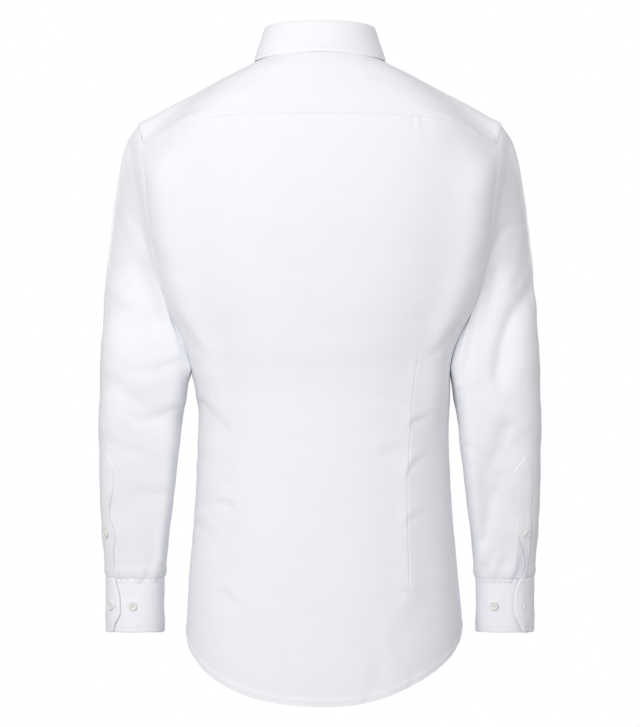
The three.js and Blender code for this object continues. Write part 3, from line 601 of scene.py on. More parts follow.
class Panel:
    """A wall of cloth over a grid of points. Its right side faces away from middle."""

    def __init__(self, name, grid, wall, middle=None, lift=0.0, wraps=False, open_cells=None):
        self.name = name
        self.grid = grid
        self.wall = wall
        if middle is None:
            middle = grid * np.array([0, 0, 1])
        normals = grid_normals(grid, wraps)
        self.normals = normals * np.sign(np.sum(normals * (grid - middle)))
        self.lift = np.broadcast_to(np.asarray(lift, float), grid.shape[:2])
        self.wraps = wraps
        self.open_cells = open_cells

    def surface(self, face=1, gap=0.0):
        """Points of the wall's outer or inner face, gap further out or in."""
        reach = self.lift + face * (self.wall / 2 + gap)
        return self.grid + self.normals * reach[..., None]

    def cells(self):
        rows, columns = self.grid.shape[:2]
        count = columns if self.wraps else columns - 1
        r, c = np.meshgrid(np.arange(rows - 1), np.arange(count), indexing="ij")
        if self.open_cells is not None:
            kept = ~self.open_cells[:, :count]
            r, c = r[kept], c[kept]
        r, c = r.ravel(), c.ravel()
        after = (c + 1) % columns
        return np.stack([r * columns + c, r * columns + after, (r + 1) * columns + after,
                         (r + 1) * columns + c], axis=1)

    def area(self):
        points = self.grid.reshape(-1, 3)
        a, b, c, d = (points[self.cells()[:, i]] for i in range(4))
        return np.linalg.norm(np.cross(c - a, d - b), axis=1).sum() / 2

    def cloth_places(self):
        """Each point's place on the flat cloth, in metres, for the weave."""
        rows, columns = self.grid.shape[:2]
        across = np.linalg.norm(np.diff(self.grid, axis=1), axis=2)
        down = np.linalg.norm(np.diff(self.grid, axis=0), axis=2)
        u = np.concatenate([np.zeros((rows, 1)), np.cumsum(across, axis=1)], axis=1)
        u -= u[:, columns // 2:columns // 2 + 1]
        v = np.concatenate([np.zeros((1, columns)), np.cumsum(down, axis=0)], axis=0)
        return np.stack([u, v], axis=-1).reshape(-1, 2) * METRE

    def line(self, edge, inset, gap=0.06, trim=(0, 0)):
        """A line on the right side, inset from one edge of the panel, as points in order."""
        face = self.surface(1, gap)
        if edge in ("last", "end"):
            face = face[::-1] if edge == "last" else face[:, ::-1]
        if edge in ("start", "end"):
            face = np.swapaxes(face, 0, 1)
        steps = np.linalg.norm(np.diff(face, axis=0), axis=2)
        reach = np.concatenate([np.zeros((1, face.shape[1])), np.cumsum(steps, axis=0)])
        line = []
        for column in range(trim[0], face.shape[1] - trim[1]):
            at = np.interp(inset, reach[:, column], np.arange(face.shape[0]))
            low = int(min(at, face.shape[0] - 2))
            line.append(face[low, column] + (face[low + 1, column] - face[low, column]) * (at - low))
        return np.array(line)


# Meshes

def add_object(name, data):
    obj = bpy.data.objects.new(name, data)
    bpy.context.scene.collection.objects.link(obj)
    return obj


def finish_mesh(name, points, faces, material, places=None, sharp=50):
    """A mesh object in metres, smooth but for its sharp edges."""
    mesh = bpy.data.meshes.new(name)
    mesh.from_pydata((np.asarray(points) * METRE).tolist(), [], [list(face) for face in faces])
    mesh.materials.append(material)
    mesh.validate()
    mesh.polygons.foreach_set("use_smooth", np.ones(len(mesh.polygons), bool))
    mesh.set_sharp_from_angle(angle=math.radians(sharp))
    if places is not None:
        layer = mesh.uv_layers.new(name="Cloth")
        corners = np.zeros(len(mesh.loops), int)
        mesh.loops.foreach_get("vertex_index", corners)
        layer.data.foreach_set("uv", np.asarray(places)[corners].astype(np.float32).ravel())
    return add_object(name, mesh)


def mirror_points(points, mirror):
    return points * np.array([mirror, 1, 1])


def wall_object(panel, material, mirror=1):
    """The closed wall of a panel: its two faces and the rims between them."""
    rows, columns = panel.grid.shape[:2]
    cells = panel.cells()
    count = rows * columns
    row = rows // 2
    across = panel.grid[row, 1] - panel.grid[row, 0]
    down = panel.grid[row + 1, 0] - panel.grid[row, 0]
    if np.dot(np.cross(across, down), panel.normals[row, 0]) * mirror < 0:
        cells = cells[:, ::-1]
    edges = np.concatenate([cells[:, [i, (i + 1) % 4]] for i in range(4)])
    keys = np.sort(edges, axis=1)
    keys = keys[:, 0].astype(np.int64) * count + keys[:, 1]
    _, first, uses = np.unique(keys, return_index=True, return_counts=True)
    rim = edges[first[uses == 1]]
    rims = np.stack([rim[:, 1], rim[:, 0], rim[:, 0] + count, rim[:, 1] + count], axis=1)
    faces = np.concatenate([cells, cells[:, ::-1] + count, rims])
    points = np.concatenate([panel.surface(1).reshape(-1, 3), panel.surface(-1).reshape(-1, 3)])
    places = np.concatenate([panel.cloth_places()] * 2)
    used, faces = np.unique(faces, return_inverse=True)
    faces = faces.reshape(-1, 4)
    return finish_mesh(panel.name, mirror_points(points[used], mirror), faces, material, places[used])


def carry(piece, node):
    """The piece stands for a solid of the frame, rides on its body and hides that solid, if it has one."""
    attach(piece, "root")
    if node:
        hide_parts(node)


def sew_piece(panel, node, flat, rests_on, held="draped", finish="shirt_cotton", slot="shirt_cotton",
              mirror=1):
    """Makes a panel's wall in its finish and carries it on the frame."""
    piece = wall_object(panel, finish_named(finish), mirror)
    carry(piece, node)
    width, length = flat
    shown = min(panel.area() * METRE ** 2, width * length)


# Materials

def set_inputs(tree, node, values):
    """Gives each named input of a node a plain value or a link from another node."""
    for name, value in values.items():
        if isinstance(value, bpy.types.NodeSocket):
            tree.links.new(value, node.inputs[name])
        else:
            node.inputs[name].default_value = value


def add_node(tree, kind, values, **settings):
    node = tree.nodes.new(kind)
    for name, value in settings.items():
        setattr(node, name, value)
    set_inputs(tree, node, values)
    return node


def add_math(tree, operation, *values):
    return add_node(tree, "ShaderNodeMath", dict(enumerate(values)), operation=operation).outputs[0]


def add_noise(tree, place, values):
    return add_node(tree, "ShaderNodeTexNoise", {"Vector": place, **values}).outputs["Fac"]


def new_material(name):
    material = bpy.data.materials.new(name)
    material.use_nodes = True
    return material, material.node_tree, material.node_tree.nodes["Principled BSDF"]


def object_place(tree):
    return add_node(tree, "ShaderNodeTexCoord", {}).outputs["Object"]


def opaque(colour, share=1):
    """A colour with its alpha, darkened to a share of itself."""
    return (*[share * value for value in colour], 1)


def clouded(tree, noise, colour, dark, start=0, end=1):
    """A colour that noise darkens to a share of itself, between two levels of the noise."""
    ramp = add_node(tree, "ShaderNodeValToRGB", {"Fac": noise})
    low, high = ramp.color_ramp.elements
    low.position, high.position = start, end
    low.color, high.color = opaque(colour, dark), opaque(colour)
    return ramp.outputs["Color"]


def cotton(name, colour, crease, roughness, sheen):
    """Fine white twill: threads on the cloth's own map, slubs, and faint creases in the cloth."""
    material, tree, shader = new_material(name)
    cloth_map = add_node(tree, "ShaderNodeUVMap", {}, uv_map="Cloth").outputs["UV"]
    split = add_node(tree, "ShaderNodeSeparateXYZ", {0: cloth_map})
    x, y = split.outputs["X"], split.outputs["Y"]
    turn = 2 * math.pi / WEAVE_SPACING
    warp = add_math(tree, "SINE", add_math(tree, "MULTIPLY", x, turn))
    weft = add_math(tree, "SINE", add_math(tree, "MULTIPLY", y, turn))
    twill = add_math(tree, "SINE", add_math(tree, "MULTIPLY", add_math(tree, "ADD", x, y), turn / 2))
    weave = add_math(tree, "ADD", add_math(tree, "MULTIPLY", warp, weft), twill)
    drawn_out = add_node(tree, "ShaderNodeMapping", {"Vector": cloth_map, "Scale": (900, 60, 1)})
    slubs = add_noise(tree, drawn_out.outputs["Vector"], {"Scale": 1, "Detail": 2})
    creases = add_noise(tree, object_place(tree), {
        "Scale": 34, "Detail": 3, "Roughness": 0.55, "Distortion": 0.8})
    shade = add_node(tree, "ShaderNodeMix", {
        "Factor": slubs, "A": opaque(colour, 0.955), "B": opaque(colour)}, data_type="RGBA")
    below = {}
    for height, distance in ((creases, crease), (slubs, SLUB_DEPTH), (weave, WEAVE_DEPTH)):
        bump = add_node(tree, "ShaderNodeBump", {
            "Height": height, "Distance": distance, "Strength": 0.5, **below})
        below = {"Normal": bump.outputs["Normal"]}
    set_inputs(tree, shader, {
        "Base Color": shade.outputs["Result"], **below, "Roughness": roughness, "Sheen Weight": sheen,
        "Sheen Roughness": 0.45, "Specular IOR Level": 0.35})
    return material


def pearl(name, colour):
    """Cream shell: soft cloudy bands under a smooth gloss."""
    material, tree, shader = new_material(name)
    clouds = add_noise(tree, object_place(tree), {"Scale": 260, "Detail": 3, "Distortion": 1.5})
    set_inputs(tree, shader, {
        "Base Color": clouded(tree, clouds, colour, 0.82, 0.3, 0.7), "Roughness": 0.3, "Coat Weight": 0.25,
        "Coat Roughness": 0.2})
    return material


def sewing_thread(name, colour):
    """Twisted white thread: fine turns along it and a dull surface."""
    material, tree, shader = new_material(name)
    fuzz = add_noise(tree, object_place(tree), {"Scale": 2500})
    bump = add_node(tree, "ShaderNodeBump", {"Height": fuzz, "Distance": 0.00005})
    set_inputs(tree, shader, {
        "Base Color": clouded(tree, fuzz, colour, 0.88), "Normal": bump.outputs["Normal"], "Roughness": 0.6})
    return material


def finish_named(name):
    """One of the shirt's finishes, made when it is first asked for."""
    if name in bpy.data.materials:
        return bpy.data.materials[name]
    colours = bpy.context.scene.shirt_colours
    if name == "shirt_cotton":
        return cotton(name, colours.cotton, crease=0.0011, roughness=0.62, sheen=0.22)
    if name == "interlined_cotton":
        return cotton(name, colours.cotton, crease=0.0005, roughness=0.6, sheen=0.18)
    if name == "under_cotton":
        return cotton(name, colours.under_placket, crease=0.0008, roughness=0.65, sheen=0.15)
    if name == "pearl_button":
        return pearl(name, colours.button)
    return sewing_thread(name, colours.thread)


# Sewing, by Geometry Nodes

def new_tree(name, sizes):
    """A tree with a geometry input and named sizes, and the sockets that give them."""
    tree = bpy.data.node_groups.new(name, "GeometryNodeTree")
    tree.interface.new_socket("Geometry", in_out="INPUT", socket_type="NodeSocketGeometry")
    for label, value in sizes.items():
        socket = tree.interface.new_socket(label, in_out="INPUT", socket_type="NodeSocketFloat")
        socket.default_value = value
        socket.subtype = "DISTANCE"
    tree.interface.new_socket("Geometry", in_out="OUTPUT", socket_type="NodeSocketGeometry")
    return tree, tree.nodes.new("NodeGroupInput").outputs


def end_tree(tree, geometry, material):
    realize = add_node(tree, "GeometryNodeRealizeInstances", {0: geometry})
    paint = add_node(tree, "GeometryNodeSetMaterial", {"Geometry": realize.outputs[0], "Material": material})
    add_node(tree, "NodeGroupOutput", {0: paint.outputs["Geometry"]})


def stitch_tree(material):
    """Lays one short stitch at every step along the lines that it is given."""
    tree, given = new_tree("Run of stitches", {"Pitch": 0.0024, "Length": 0.0017, "Radius": 0.0002})
    line = add_node(tree, "GeometryNodeMeshToCurve", {"Mesh": given["Geometry"]})
    steps = add_node(tree, "GeometryNodeCurveToPoints", {
        "Curve": line.outputs["Curve"], "Length": given["Pitch"]}, mode="LENGTH").outputs
    stitch = add_node(tree, "GeometryNodeMeshCylinder", {
        "Vertices": 5, "Depth": given["Length"], "Radius": given["Radius"]})
    turn = add_node(tree, "FunctionNodeAlignRotationToVector", {"Vector": steps["Tangent"]}, axis="Z")
    lay = add_node(tree, "GeometryNodeInstanceOnPoints", {
        "Points": steps["Points"], "Instance": stitch.outputs["Mesh"], "Rotation": turn.outputs["Rotation"]})
    end_tree(tree, lay.outputs["Instances"], material)
    return tree


def thread_tree(material):
    """Makes a round thread along every line that it is given."""
    tree, given = new_tree("Threads", {"Radius": 0.0002})
    line = add_node(tree, "GeometryNodeMeshToCurve", {"Mesh": given["Geometry"]})
    ring = add_node(tree, "GeometryNodeCurvePrimitiveCircle", {"Resolution": 5, "Radius": given["Radius"]})
    sweep = add_node(tree, "GeometryNodeCurveToMesh", {
        "Curve": line.outputs["Curve"], "Profile Curve": ring.outputs["Curve"], "Fill Caps": True})
    end_tree(tree, sweep.outputs["Mesh"], material)
    return tree


def sewn(name, lines, tree, sizes):
    """Runs a tree of sewing over lines and leaves a plain mesh."""
    points = np.concatenate(lines) * METRE
    edges = []
    start = 0
    for line in lines:
        edges += [(start + i, start + i + 1) for i in range(len(line) - 1)]
        start += len(line)
    mesh = bpy.data.meshes.new(name)
    mesh.from_pydata(points.tolist(), edges, [])
    obj = add_object(name, mesh)
    modifier = obj.modifiers.new("Sewing", "NODES")
    modifier.node_group = tree
    for item in tree.interface.items_tree:
        if item.in_out == "INPUT" and item.name in sizes:
            modifier[item.identifier] = sizes[item.name]
    ready = obj.evaluated_get(bpy.context.evaluated_depsgraph_get())
    made = bpy.data.meshes.new_from_object(ready)
    obj.modifiers.remove(modifier)
    obj.data = made
    made.name = name
    if len(made.polygons) == 0:
        raise RuntimeError(f"{name} has no stitches")
    carry(obj, None)


def sewing_tree(name):
    if name in bpy.data.node_groups:
        return bpy.data.node_groups[name]
    thread = finish_named("sewing_thread")
    return stitch_tree(thread) if name == "Run of stitches" else thread_tree(thread)


def stitched(name, lines, mirror=1):
    """Runs of stitches along lines, in the sizes that the panel shows."""
    sizes = bpy.context.scene.shirt_sizes
    wanted = {"Pitch": sizes.stitch_pitch, "Length": sizes.stitch_length, "Radius": sizes.thread_radius}
    sewn(name, [mirror_points(line, mirror) for line in lines], sewing_tree("Run of stitches"), wanted)


def threads(name, lines, radius):
    sewn(name, lines, sewing_tree("Threads"), {"Radius": radius})


# The body's panels

def dart_angles(side, path):
    """The angles at which a dart's line crosses rings at these heights."""
    heights = [z for _, z in path][::-1]
    places = [x for x, _ in path][::-1]
    x = np.interp(side, heights, places)
    ring = body_ring(side)
    share = np.clip((x - ring.shift) / ring.half, -0.999, 0.999)
    return np.degrees(np.arccos(signed_power(share, ring.square / 2)))


def back_columns(side, limit):
    """Angles across the back, close together beside the two darts."""
    left = dart_angles(side, DARTS[0])
    right = dart_angles(side, DARTS[1])
    knots = np.stack([limit, left - DART_EDGE, left + DART_EDGE, right - DART_EDGE, right + DART_EDGE,
                      180 - limit], axis=1)
    counts = (22, 18, 60, 18, 22)
    parts = []
    for i, count in enumerate(counts):
        share = np.linspace(0, 1, count, endpoint=False)
        parts.append(knots[:, i:i + 1] + (knots[:, i + 1:i + 2] - knots[:, i:i + 1]) * share)
    parts.append(knots[:, -1:])
    return np.concatenate(parts, axis=1)


def body_sides():
    """Heights of the body's rows: close together at the hem and at the yoke."""
    hem = HEM + np.array([0, 1.2, 2.6, 4.2, 5.4, 6.6, 8.4, 10.6])
    lower = np.linspace(HEM + 13.5, UNDERARM, 104)
    upper = UNDERARM + (SHOULDER - 12 - UNDERARM) * (np.arange(1, 67) / 66) ** 1.25
    seam = np.linspace(SHOULDER - 12, SHOULDER, 9)[1:]
    return np.concatenate([hem, lower, upper, seam])


def hem_lift(side):
    """The hem is turned twice, so it is thicker for its last 6 mm."""
    return 0.45 * (1 - smooth_step(HEM + 5.0, HEM + 6.4, side))


def back_panel(sizes):
    """The back, from its hem up to just under the yoke's edge."""
    side = body_sides()
    limit = np.where(side <= UNDERARM, 0, armhole_angle(np.minimum(side, SHOULDER), "back"))
    angles = back_columns(side, limit)
    grid = body_cloth(side[:, None], angles)
    tucked = -sizes.seam_step / METRE * smooth_step(YOKE_EDGE + 0.6, YOKE_EDGE + 2.4, side)
    return Panel("back_panel", grid, sizes.cloth / METRE, lift=(hem_lift(side) + tucked)[:, None])


def yoke_panel(sizes):
    """The yoke, whose turned edge stands a little on the back below it."""
    rise = np.concatenate([np.array([0, 0.35, 0.8, 1.4, 2.2, 3.2, 4.2, 5.2, 6.4, 8]),
                           np.linspace(10, NECK - YOKE_EDGE, 38)])[:, None]
    angles = np.linspace(FRONT_YOKE_ANGLE, 180 - FRONT_YOKE_ANGLE, 260)[None]
    start = np.where(angles < 90, angles, 180 - angles)
    start = SHOULDER + (YOKE_EDGE - SHOULDER) * smooth_step(*YOKE_DROP, start)
    side = NECK - (NECK - start) * (1 - rise / (NECK - YOKE_EDGE))
    grid = body_cloth(side, angles)
    step = sizes.yoke_step / METRE
    band = 1 - smooth_step(4.2, 8, rise)
    lift = step * band - 0.3 * hump(rise, 0.5) + 0.06 * np.sin(grid[..., 0] / 2.3) * band
    lift = lift - 0.16 * hump(rise - 5.2, 0.9)
    return Panel("yoke_panel", grid, sizes.cloth / METRE, lift=lift)


def lap_angle(side):
    """The angle of the lap's edge, just past the centre front, on rings at these heights."""
    ring = body_ring(side)
    return 90 + np.degrees(np.arcsin(((FRONT_LAP + ring.shift) / ring.half) ** (ring.square / 2)))


def front_panel(name, sizes):
    """One front, from its armhole to the lap. The right front lies under the left one there."""
    side = np.concatenate([body_sides(), SHOULDER + np.array([0.8, 2, 3.5]),
                           np.linspace(SHOULDER + 6, NECK, 26)])
    lower = np.where(side <= UNDERARM, 0, armhole_angle(np.minimum(side, SHOULDER), "front"))
    limit = np.where(side >= SHOULDER, -FRONT_YOKE_ANGLE, lower)
    share = np.linspace(0, 1, 78)
    angles = -limit[:, None] + (limit - lap_angle(side))[:, None] * share
    if name == "left_front":
        grid = body_cloth(side[:, None], angles)
    else:
        grid = body_cloth(side[:, None], 180 - angles)
        drop = LAP_DROP * smooth_step(*LAP_EDGE, grid[..., 0])
        grid = grid - grid_normals(grid) * drop[..., None]
    return Panel(name + "_panel", grid, sizes.cloth / METRE, lift=hem_lift(side)[:, None])


# Sleeves

def sleeve_tube(along, angle, folds):
    """The left sleeve's cloth on its rings, with its folds."""
    along, angle = np.broadcast_arrays(np.asarray(along, float), np.asarray(angle, float))
    ring = sleeve_ring(along)
    c, s = oval(angle, ring.square)
    outer = np.stack([ring.outer_x, ring.middle_y, ring.outer_z], axis=-1)
    inner = np.stack([ring.inner_x, ring.middle_y, ring.inner_z], axis=-1)
    middle = (outer + inner) / 2
    points = middle + (outer - inner) / 2 * c[..., None]
    points[..., 1] += ring.depth * s
    out = unit(points - middle)
    turned = SLEEVE_TURN * smooth_step(0, 0.7, along) * smooth_step(5.2, 2.6, along)
    points[..., 1] -= turned * (points[..., 0] - inner[..., 0] - 12) * smooth_step(-0.2, 0.5, s)
    flat = INNER_FLATNESS * smooth_step(0.9, 2.0, along) * smooth_step(9.95, 9.2, along)
    points[..., 1] += flat * hump(c + 0.95, 0.3) * smooth_step(0, 0.4, s)
    settled = smooth_step(*HOLLOW_START, along)
    height = settled * fold_heights(points, ring.middle_y, [fold for fold in folds if fold.ridge == 0])
    fine = smooth_step(*CREASE_START, along)
    height += fine * fold_heights(points, ring.middle_y, [fold for fold in folds if fold.ridge > 0])
    height += fine * unevenness(points, SLEEVE_WAVES)
    return points + out * height[..., None]


def sleeve_middle(along):
    """The middle of the sleeve at each row."""
    ring = sleeve_ring(along)
    middle = np.stack([(ring.outer_x + ring.inner_x) / 2, ring.middle_y,
                       (ring.outer_z + ring.inner_z) / 2], axis=-1)
    return middle[:, None, :]


def armhole_loop(count):
    """The armhole's edge on the left, as points, directions out of the body, and sleeve angles."""
    share = np.linspace(0, 1, count)
    heights = UNDERARM + (SHOULDER - UNDERARM) * share ** 1.5
    down = heights[::-1]
    up = heights[1:]
    over = np.linspace(-armhole_angle(SHOULDER, "front"), armhole_angle(SHOULDER, "back"), count // 4)
    over = over[1:-1]
    side = np.concatenate([down, up, np.full(over.shape, SHOULDER)])
    angle = np.concatenate([armhole_angle(down, "back"), -armhole_angle(up, "front"), over])
    points, out = body_base(side, angle)
    folds = fold_heights(points, 0, BODY_FOLDS)
    points = points + out * folds[:, None]
    around = body_base(side, angle + 1)[0] - body_base(side, angle - 1)[0]
    rise = body_base(np.minimum(side + 1.5, NECK), angle)[0] - body_base(side - 1.5, angle)[0]
    normals = unit(np.cross(around, rise))
    steps = np.linalg.norm(np.diff(np.concatenate([points, points[:1]]), axis=0), axis=1)
    length = np.concatenate([[0], np.cumsum(steps)])
    underarm = length[count - 1]
    total = length[-1]
    offset = (total - length[2 * count - 2]) / 2
    top = total - offset
    length = length[:-1]
    angles = np.where(length <= underarm, 180 * (length + offset) / (underarm + offset),
                      180 + 180 * (length - underarm) / (top - underarm))
    return points, normals, angles


def around_loop(values, angles, wanted):
    """Values along the armhole's edge at the wanted sleeve angles."""
    order = np.argsort(angles % 360)
    at = (angles % 360)[order]
    at = np.concatenate([at[-1:] - 360, at, at[:1] + 360])
    rows = values[order]
    rows = np.concatenate([rows[-1:], rows, rows[:1]])
    return np.stack([np.interp(wanted % 360, at, rows[:, i]) for i in range(rows.shape[1])], axis=1)


def rest_on_body(side, grid, along, cloth):
    """How far each point moves in, so that the sleeve lies against the body down to its gap."""
    turns = np.linspace(-30, 55, 90)
    inward = np.zeros(grid.shape[:2])
    first, last = REST_ROWS
    for row in np.flatnonzero((along > first) & (along < last)):
        edge = np.argmin(grid[row, :, 0])
        height = grid[row, edge, 2]
        lying = smooth_step(GAP_TOP - 14, GAP_TOP + 3, height) * smooth_step(0.1, 0.6, along[row])
        if lying == 0:
            continue
        body = body_cloth(height, 90 - side.mirror * (90 - turns))
        x, y = side.mirror * body[:, 0], body[:, 1]
        near = smooth_step(*REST_REACH, grid[row, :, 0] - grid[row, edge, 0])
        near = near * smooth_step(*REST_FRONT, grid[row, :, 1]) * smooth_step(*REST_BACK, grid[row, :, 1])
        spare = grid[row, :, 0] - np.interp(grid[row, :, 1], y, x) - cloth - REST_AIR
        inward[row] = np.clip(spare, 0, REST_MOST) * near * lying
    return inward


def sleeve_panel(side, sizes):
    """One sleeve, from the armhole's edge into its cuff, open along its slit."""
    folds = SLEEVE_FOLDS[side.name]
    slit = [side.slit - 0.7, side.slit + 0.7]
    angles = np.sort(np.concatenate([np.linspace(0, 360, 118, endpoint=False), slit]))
    along = np.concatenate([np.linspace(0, 1, 10), np.linspace(1, 9.75, 160)[1:],
                            [9.82, 9.88, 9.93, 9.97, 10, 10]])
    points, normals, loop_angles = armhole_loop(120)
    low = np.clip((points[:, 2] - UNDERARM) / 150, 0, 1)
    shift = (1.5 - 1.7 * smooth_step(0.05, 0.4, low)) * sizes.cloth / METRE
    edge = points + normals * shift[:, None]
    start = around_loop(edge, loop_angles, angles)
    grid = sleeve_tube(along[:, None], angles[None, :], folds)
    fade = np.clip(1 - along / SLEEVE_FADE, 0, None) ** 2
    grid = grid + (start - sleeve_tube(0, angles, folds))[None] * fade[:, None, None]
    grid[-1, :, 2] -= 4
    grid[..., 0] -= rest_on_body(side, grid, along, sizes.cloth / METRE)
    # the cap rolls out a little just past the seam, and the last rows go inside the cuff
    roll = 1.3 * hump(along - 0.55, 0.4) * (1 - np.exp(-(along / 0.12)))
    tuck = -1.3 * smooth_step(9.93, 10, along) + 1.1 * hump(along - 9.7, 0.2)
    gathers = np.sin(np.radians(angles) * 23) + np.sin(np.radians(angles) * 37 + 1)
    lift = (roll + tuck)[:, None] + 0.3 * gathers[None] * np.exp(-(10 - along)[:, None] / 0.22)
    open_cells = np.zeros((len(along) - 1, len(angles)), bool)
    column = int(np.searchsorted(angles, side.slit) - 1)
    open_cells[along[:-1] >= SLIT_TOP, column] = True
    return Panel(side.name + "_sleeve_panel", grid, sizes.cloth / METRE, sleeve_middle(along), lift,
                 wraps=True, open_cells=open_cells)


def gauntlet_panel(side, sizes):
    """The pointed placket on the sleeve's opening, with its free edge rolling in and out."""
    folds = SLEEVE_FOLDS[side.name]
    rows = np.concatenate([[10.0, 9.97, 9.93], np.linspace(9.88, GAUNTLET_TOP, 90),
                           np.linspace(GAUNTLET_TOP, GAUNTLET_TIP, 14)[1:]])
    share = np.concatenate([np.linspace(0, 0.12, 5), np.linspace(0.12, 0.86, 15)[1:-1],
                            np.linspace(0.86, 1, 6)])
    wave = PLACKET_WAVE[side.name]
    (top, top_swing), (bottom, _) = wave[0], wave[-1]
    height = sleeve_tube(rows, side.slit, folds)[:, 2]
    free = side.slit + PLACKET_FREE + table_curve(wave)(np.clip(height, bottom, top))
    back = side.slit + PLACKET_BACK
    middle = (side.slit + PLACKET_FREE + top_swing + back) / 2
    point = np.clip((rows - GAUNTLET_TIP) / (GAUNTLET_TOP - GAUNTLET_TIP), 0.03, 1)
    free = middle + (free - middle) * point
    back = middle + (back - middle) * point
    angles = back[:, None] + (free - back)[:, None] * share
    grid = sleeve_tube(rows[:, None], angles, folds)
    gape = np.interp(height, (-625, -612, -540, -505, -495), (0.4, 1, 1, 0.5, 0))
    rise = 1.15 + PLACKET_GAPE[side.name] * smooth_step(0.45, 1, share)[None] * gape[:, None]
    rise = rise + 1.1 * (side.name == "right") * smooth_step(8.0, 8.4, rows)[:, None]
    ends = -1.2 * smooth_step(9.9, 9.99, rows)[:, None]
    from_side = np.minimum(share, 1 - share)[None] * GAUNTLET_WIDTH * point[:, None]
    from_tip = (rows[:, None] - GAUNTLET_TIP) / (GAUNTLET_TOP - GAUNTLET_TIP) * GAUNTLET_POINT
    inset = np.minimum(from_side, np.maximum(from_tip * 0.8, 0))
    soft = -0.34 * hump(inset, 0.6) - 0.22 * hump(inset - 1.9, 0.55)
    box = -0.3 * hump(height[:, None] + 501, 0.7)
    return Panel(side.name + "_gauntlet", grid, sizes.band / METRE, sleeve_middle(rows),
                 rise + ends + soft + box)


def under_placket_panel(side, sizes):
    """The narrow band on the other edge of the sleeve's opening."""
    folds = SLEEVE_FOLDS[side.name]
    rows = np.linspace(9.98, SLIT_TOP, 60)
    low, high = UNDER_SPAN[side.name]
    angles = np.linspace(side.slit + low, side.slit + high, 12)
    grid = sleeve_tube(rows[:, None], angles[None], folds)
    edge = np.minimum(angles - angles[0], angles[-1] - angles)
    lift = UNDER_LIFT[side.name] - 0.25 * hump(edge, 1.1)
    return Panel(side.name + "_under_band", grid, sizes.band / METRE, sleeve_middle(rows), lift)


# Cuffs

def cuff_point(angle, layer, height):
    """A place on the cuff's oval, a layer's shift out of it."""
    c, s = oval(angle, CUFF_OVAL)
    x = CUFF_MIDDLE[0] + (CUFF_HALF_WIDTH + layer) * c
    y = CUFF_MIDDLE[1] + (CUFF_HALF_DEPTH + layer) * s
    return np.stack(np.broadcast_arrays(x, y, height), axis=-1).astype(float)


def cuff_panel(side):
    """A strip that winds round the wrist, its free end standing off, with a pressed edge."""
    whole = 360 + CUFF_UNDERLAP
    turned = np.concatenate([np.linspace(0, 24, 30), np.linspace(24, whole - 18, 130)[1:-1],
                             np.linspace(whole - 18, whole, 10)])
    rise = np.concatenate([np.linspace(0, 9, 12), np.linspace(9, 56, 20)[1:-1],
                           np.linspace(56, CUFF_HEIGHT, 12)])[:, None]
    lower = 1 - rise / CUFF_HEIGHT
    overlap = CUFF_UNDERLAP / whole
    layer = CUFF_LAYER * (1 - 2 * smooth_step(overlap, 1 - overlap, turned / whole))
    layer = layer + CUFF_FLARE[side.name] * hump(turned, 26)
    swing = table_curve(CUFF_WAVE[side.name])(CUFF_BOTTOM + rise) * hump(turned, 20)
    from_start = turned * CUFF_ARC
    from_end = (whole - turned) * CUFF_ARC
    height = CUFF_BOTTOM + 7 * hump(from_end, 3.2) * lower + rise
    raised = 1.2 * hump(turned, 9) * lower
    grid = cuff_point(side.slit + 10 - turned + swing, layer, height + raised)
    wave = 0.6 * np.sin(np.radians(turned) * 1.3 + 0.4) + 0.25 * np.sin(np.radians(turned) * 5.1)
    grid[..., 2] += wave * lower
    inset = np.minimum(np.minimum(rise, CUFF_HEIGHT - rise), np.minimum(from_start, from_end))
    groove = -0.26 * hump(inset - TOPSTITCH, 0.8) - 0.6 * hump(inset, 0.8)
    middle = np.array([*CUFF_MIDDLE, 0]) + grid * np.array([0, 0, 1])
    return Panel(side.name + "_cuff_band", grid, CUFF_WALL, middle, groove + unevenness(grid, CUFF_WAVES))


# Collar

def collar_point(ring, angle):
    """A place on a ring of the collar, which is lower at the front than at the back."""
    c, s = oval(angle, COLLAR_OVAL)
    behind = s >= 0
    share = np.sin(np.radians(angle))
    x = ring.half * c
    y = np.where(behind, ring.to_back, ring.to_front) * s
    z = ring.side + (np.where(behind, ring.back, ring.front) - ring.side) * share * share
    return np.stack(np.broadcast_arrays(x, y, z), axis=-1)


def past_side(angle):
    """How far an angle has gone past the side, towards the centre front, in degrees."""
    return np.where(angle < 90, -angle, angle - 180)


def stand_panel():
    """The collar's band, with one end lapped over the other at the centre front."""
    reach = 90 + math.degrees(math.asin((FRONT_LAP / STAND_HALF_WIDTH) ** (COLLAR_OVAL / 2)))
    angle = np.linspace(-reach, 180 + reach, 150)[None]
    rise = np.linspace(0, 1, 16)[:, None]
    grid = collar_point(stand_ring(rise), angle)
    lap = smooth_step(62, 78, past_side(angle))
    out = unit(grid * np.array([1, 1, 0]))
    grid = grid + out * (np.where(angle < 90, 1.25, -1.25) * lap)[..., None]
    grid[..., 2] += 1.0 * (1 - rise)
    return Panel("collar_stand_band", grid, STAND_WALL)


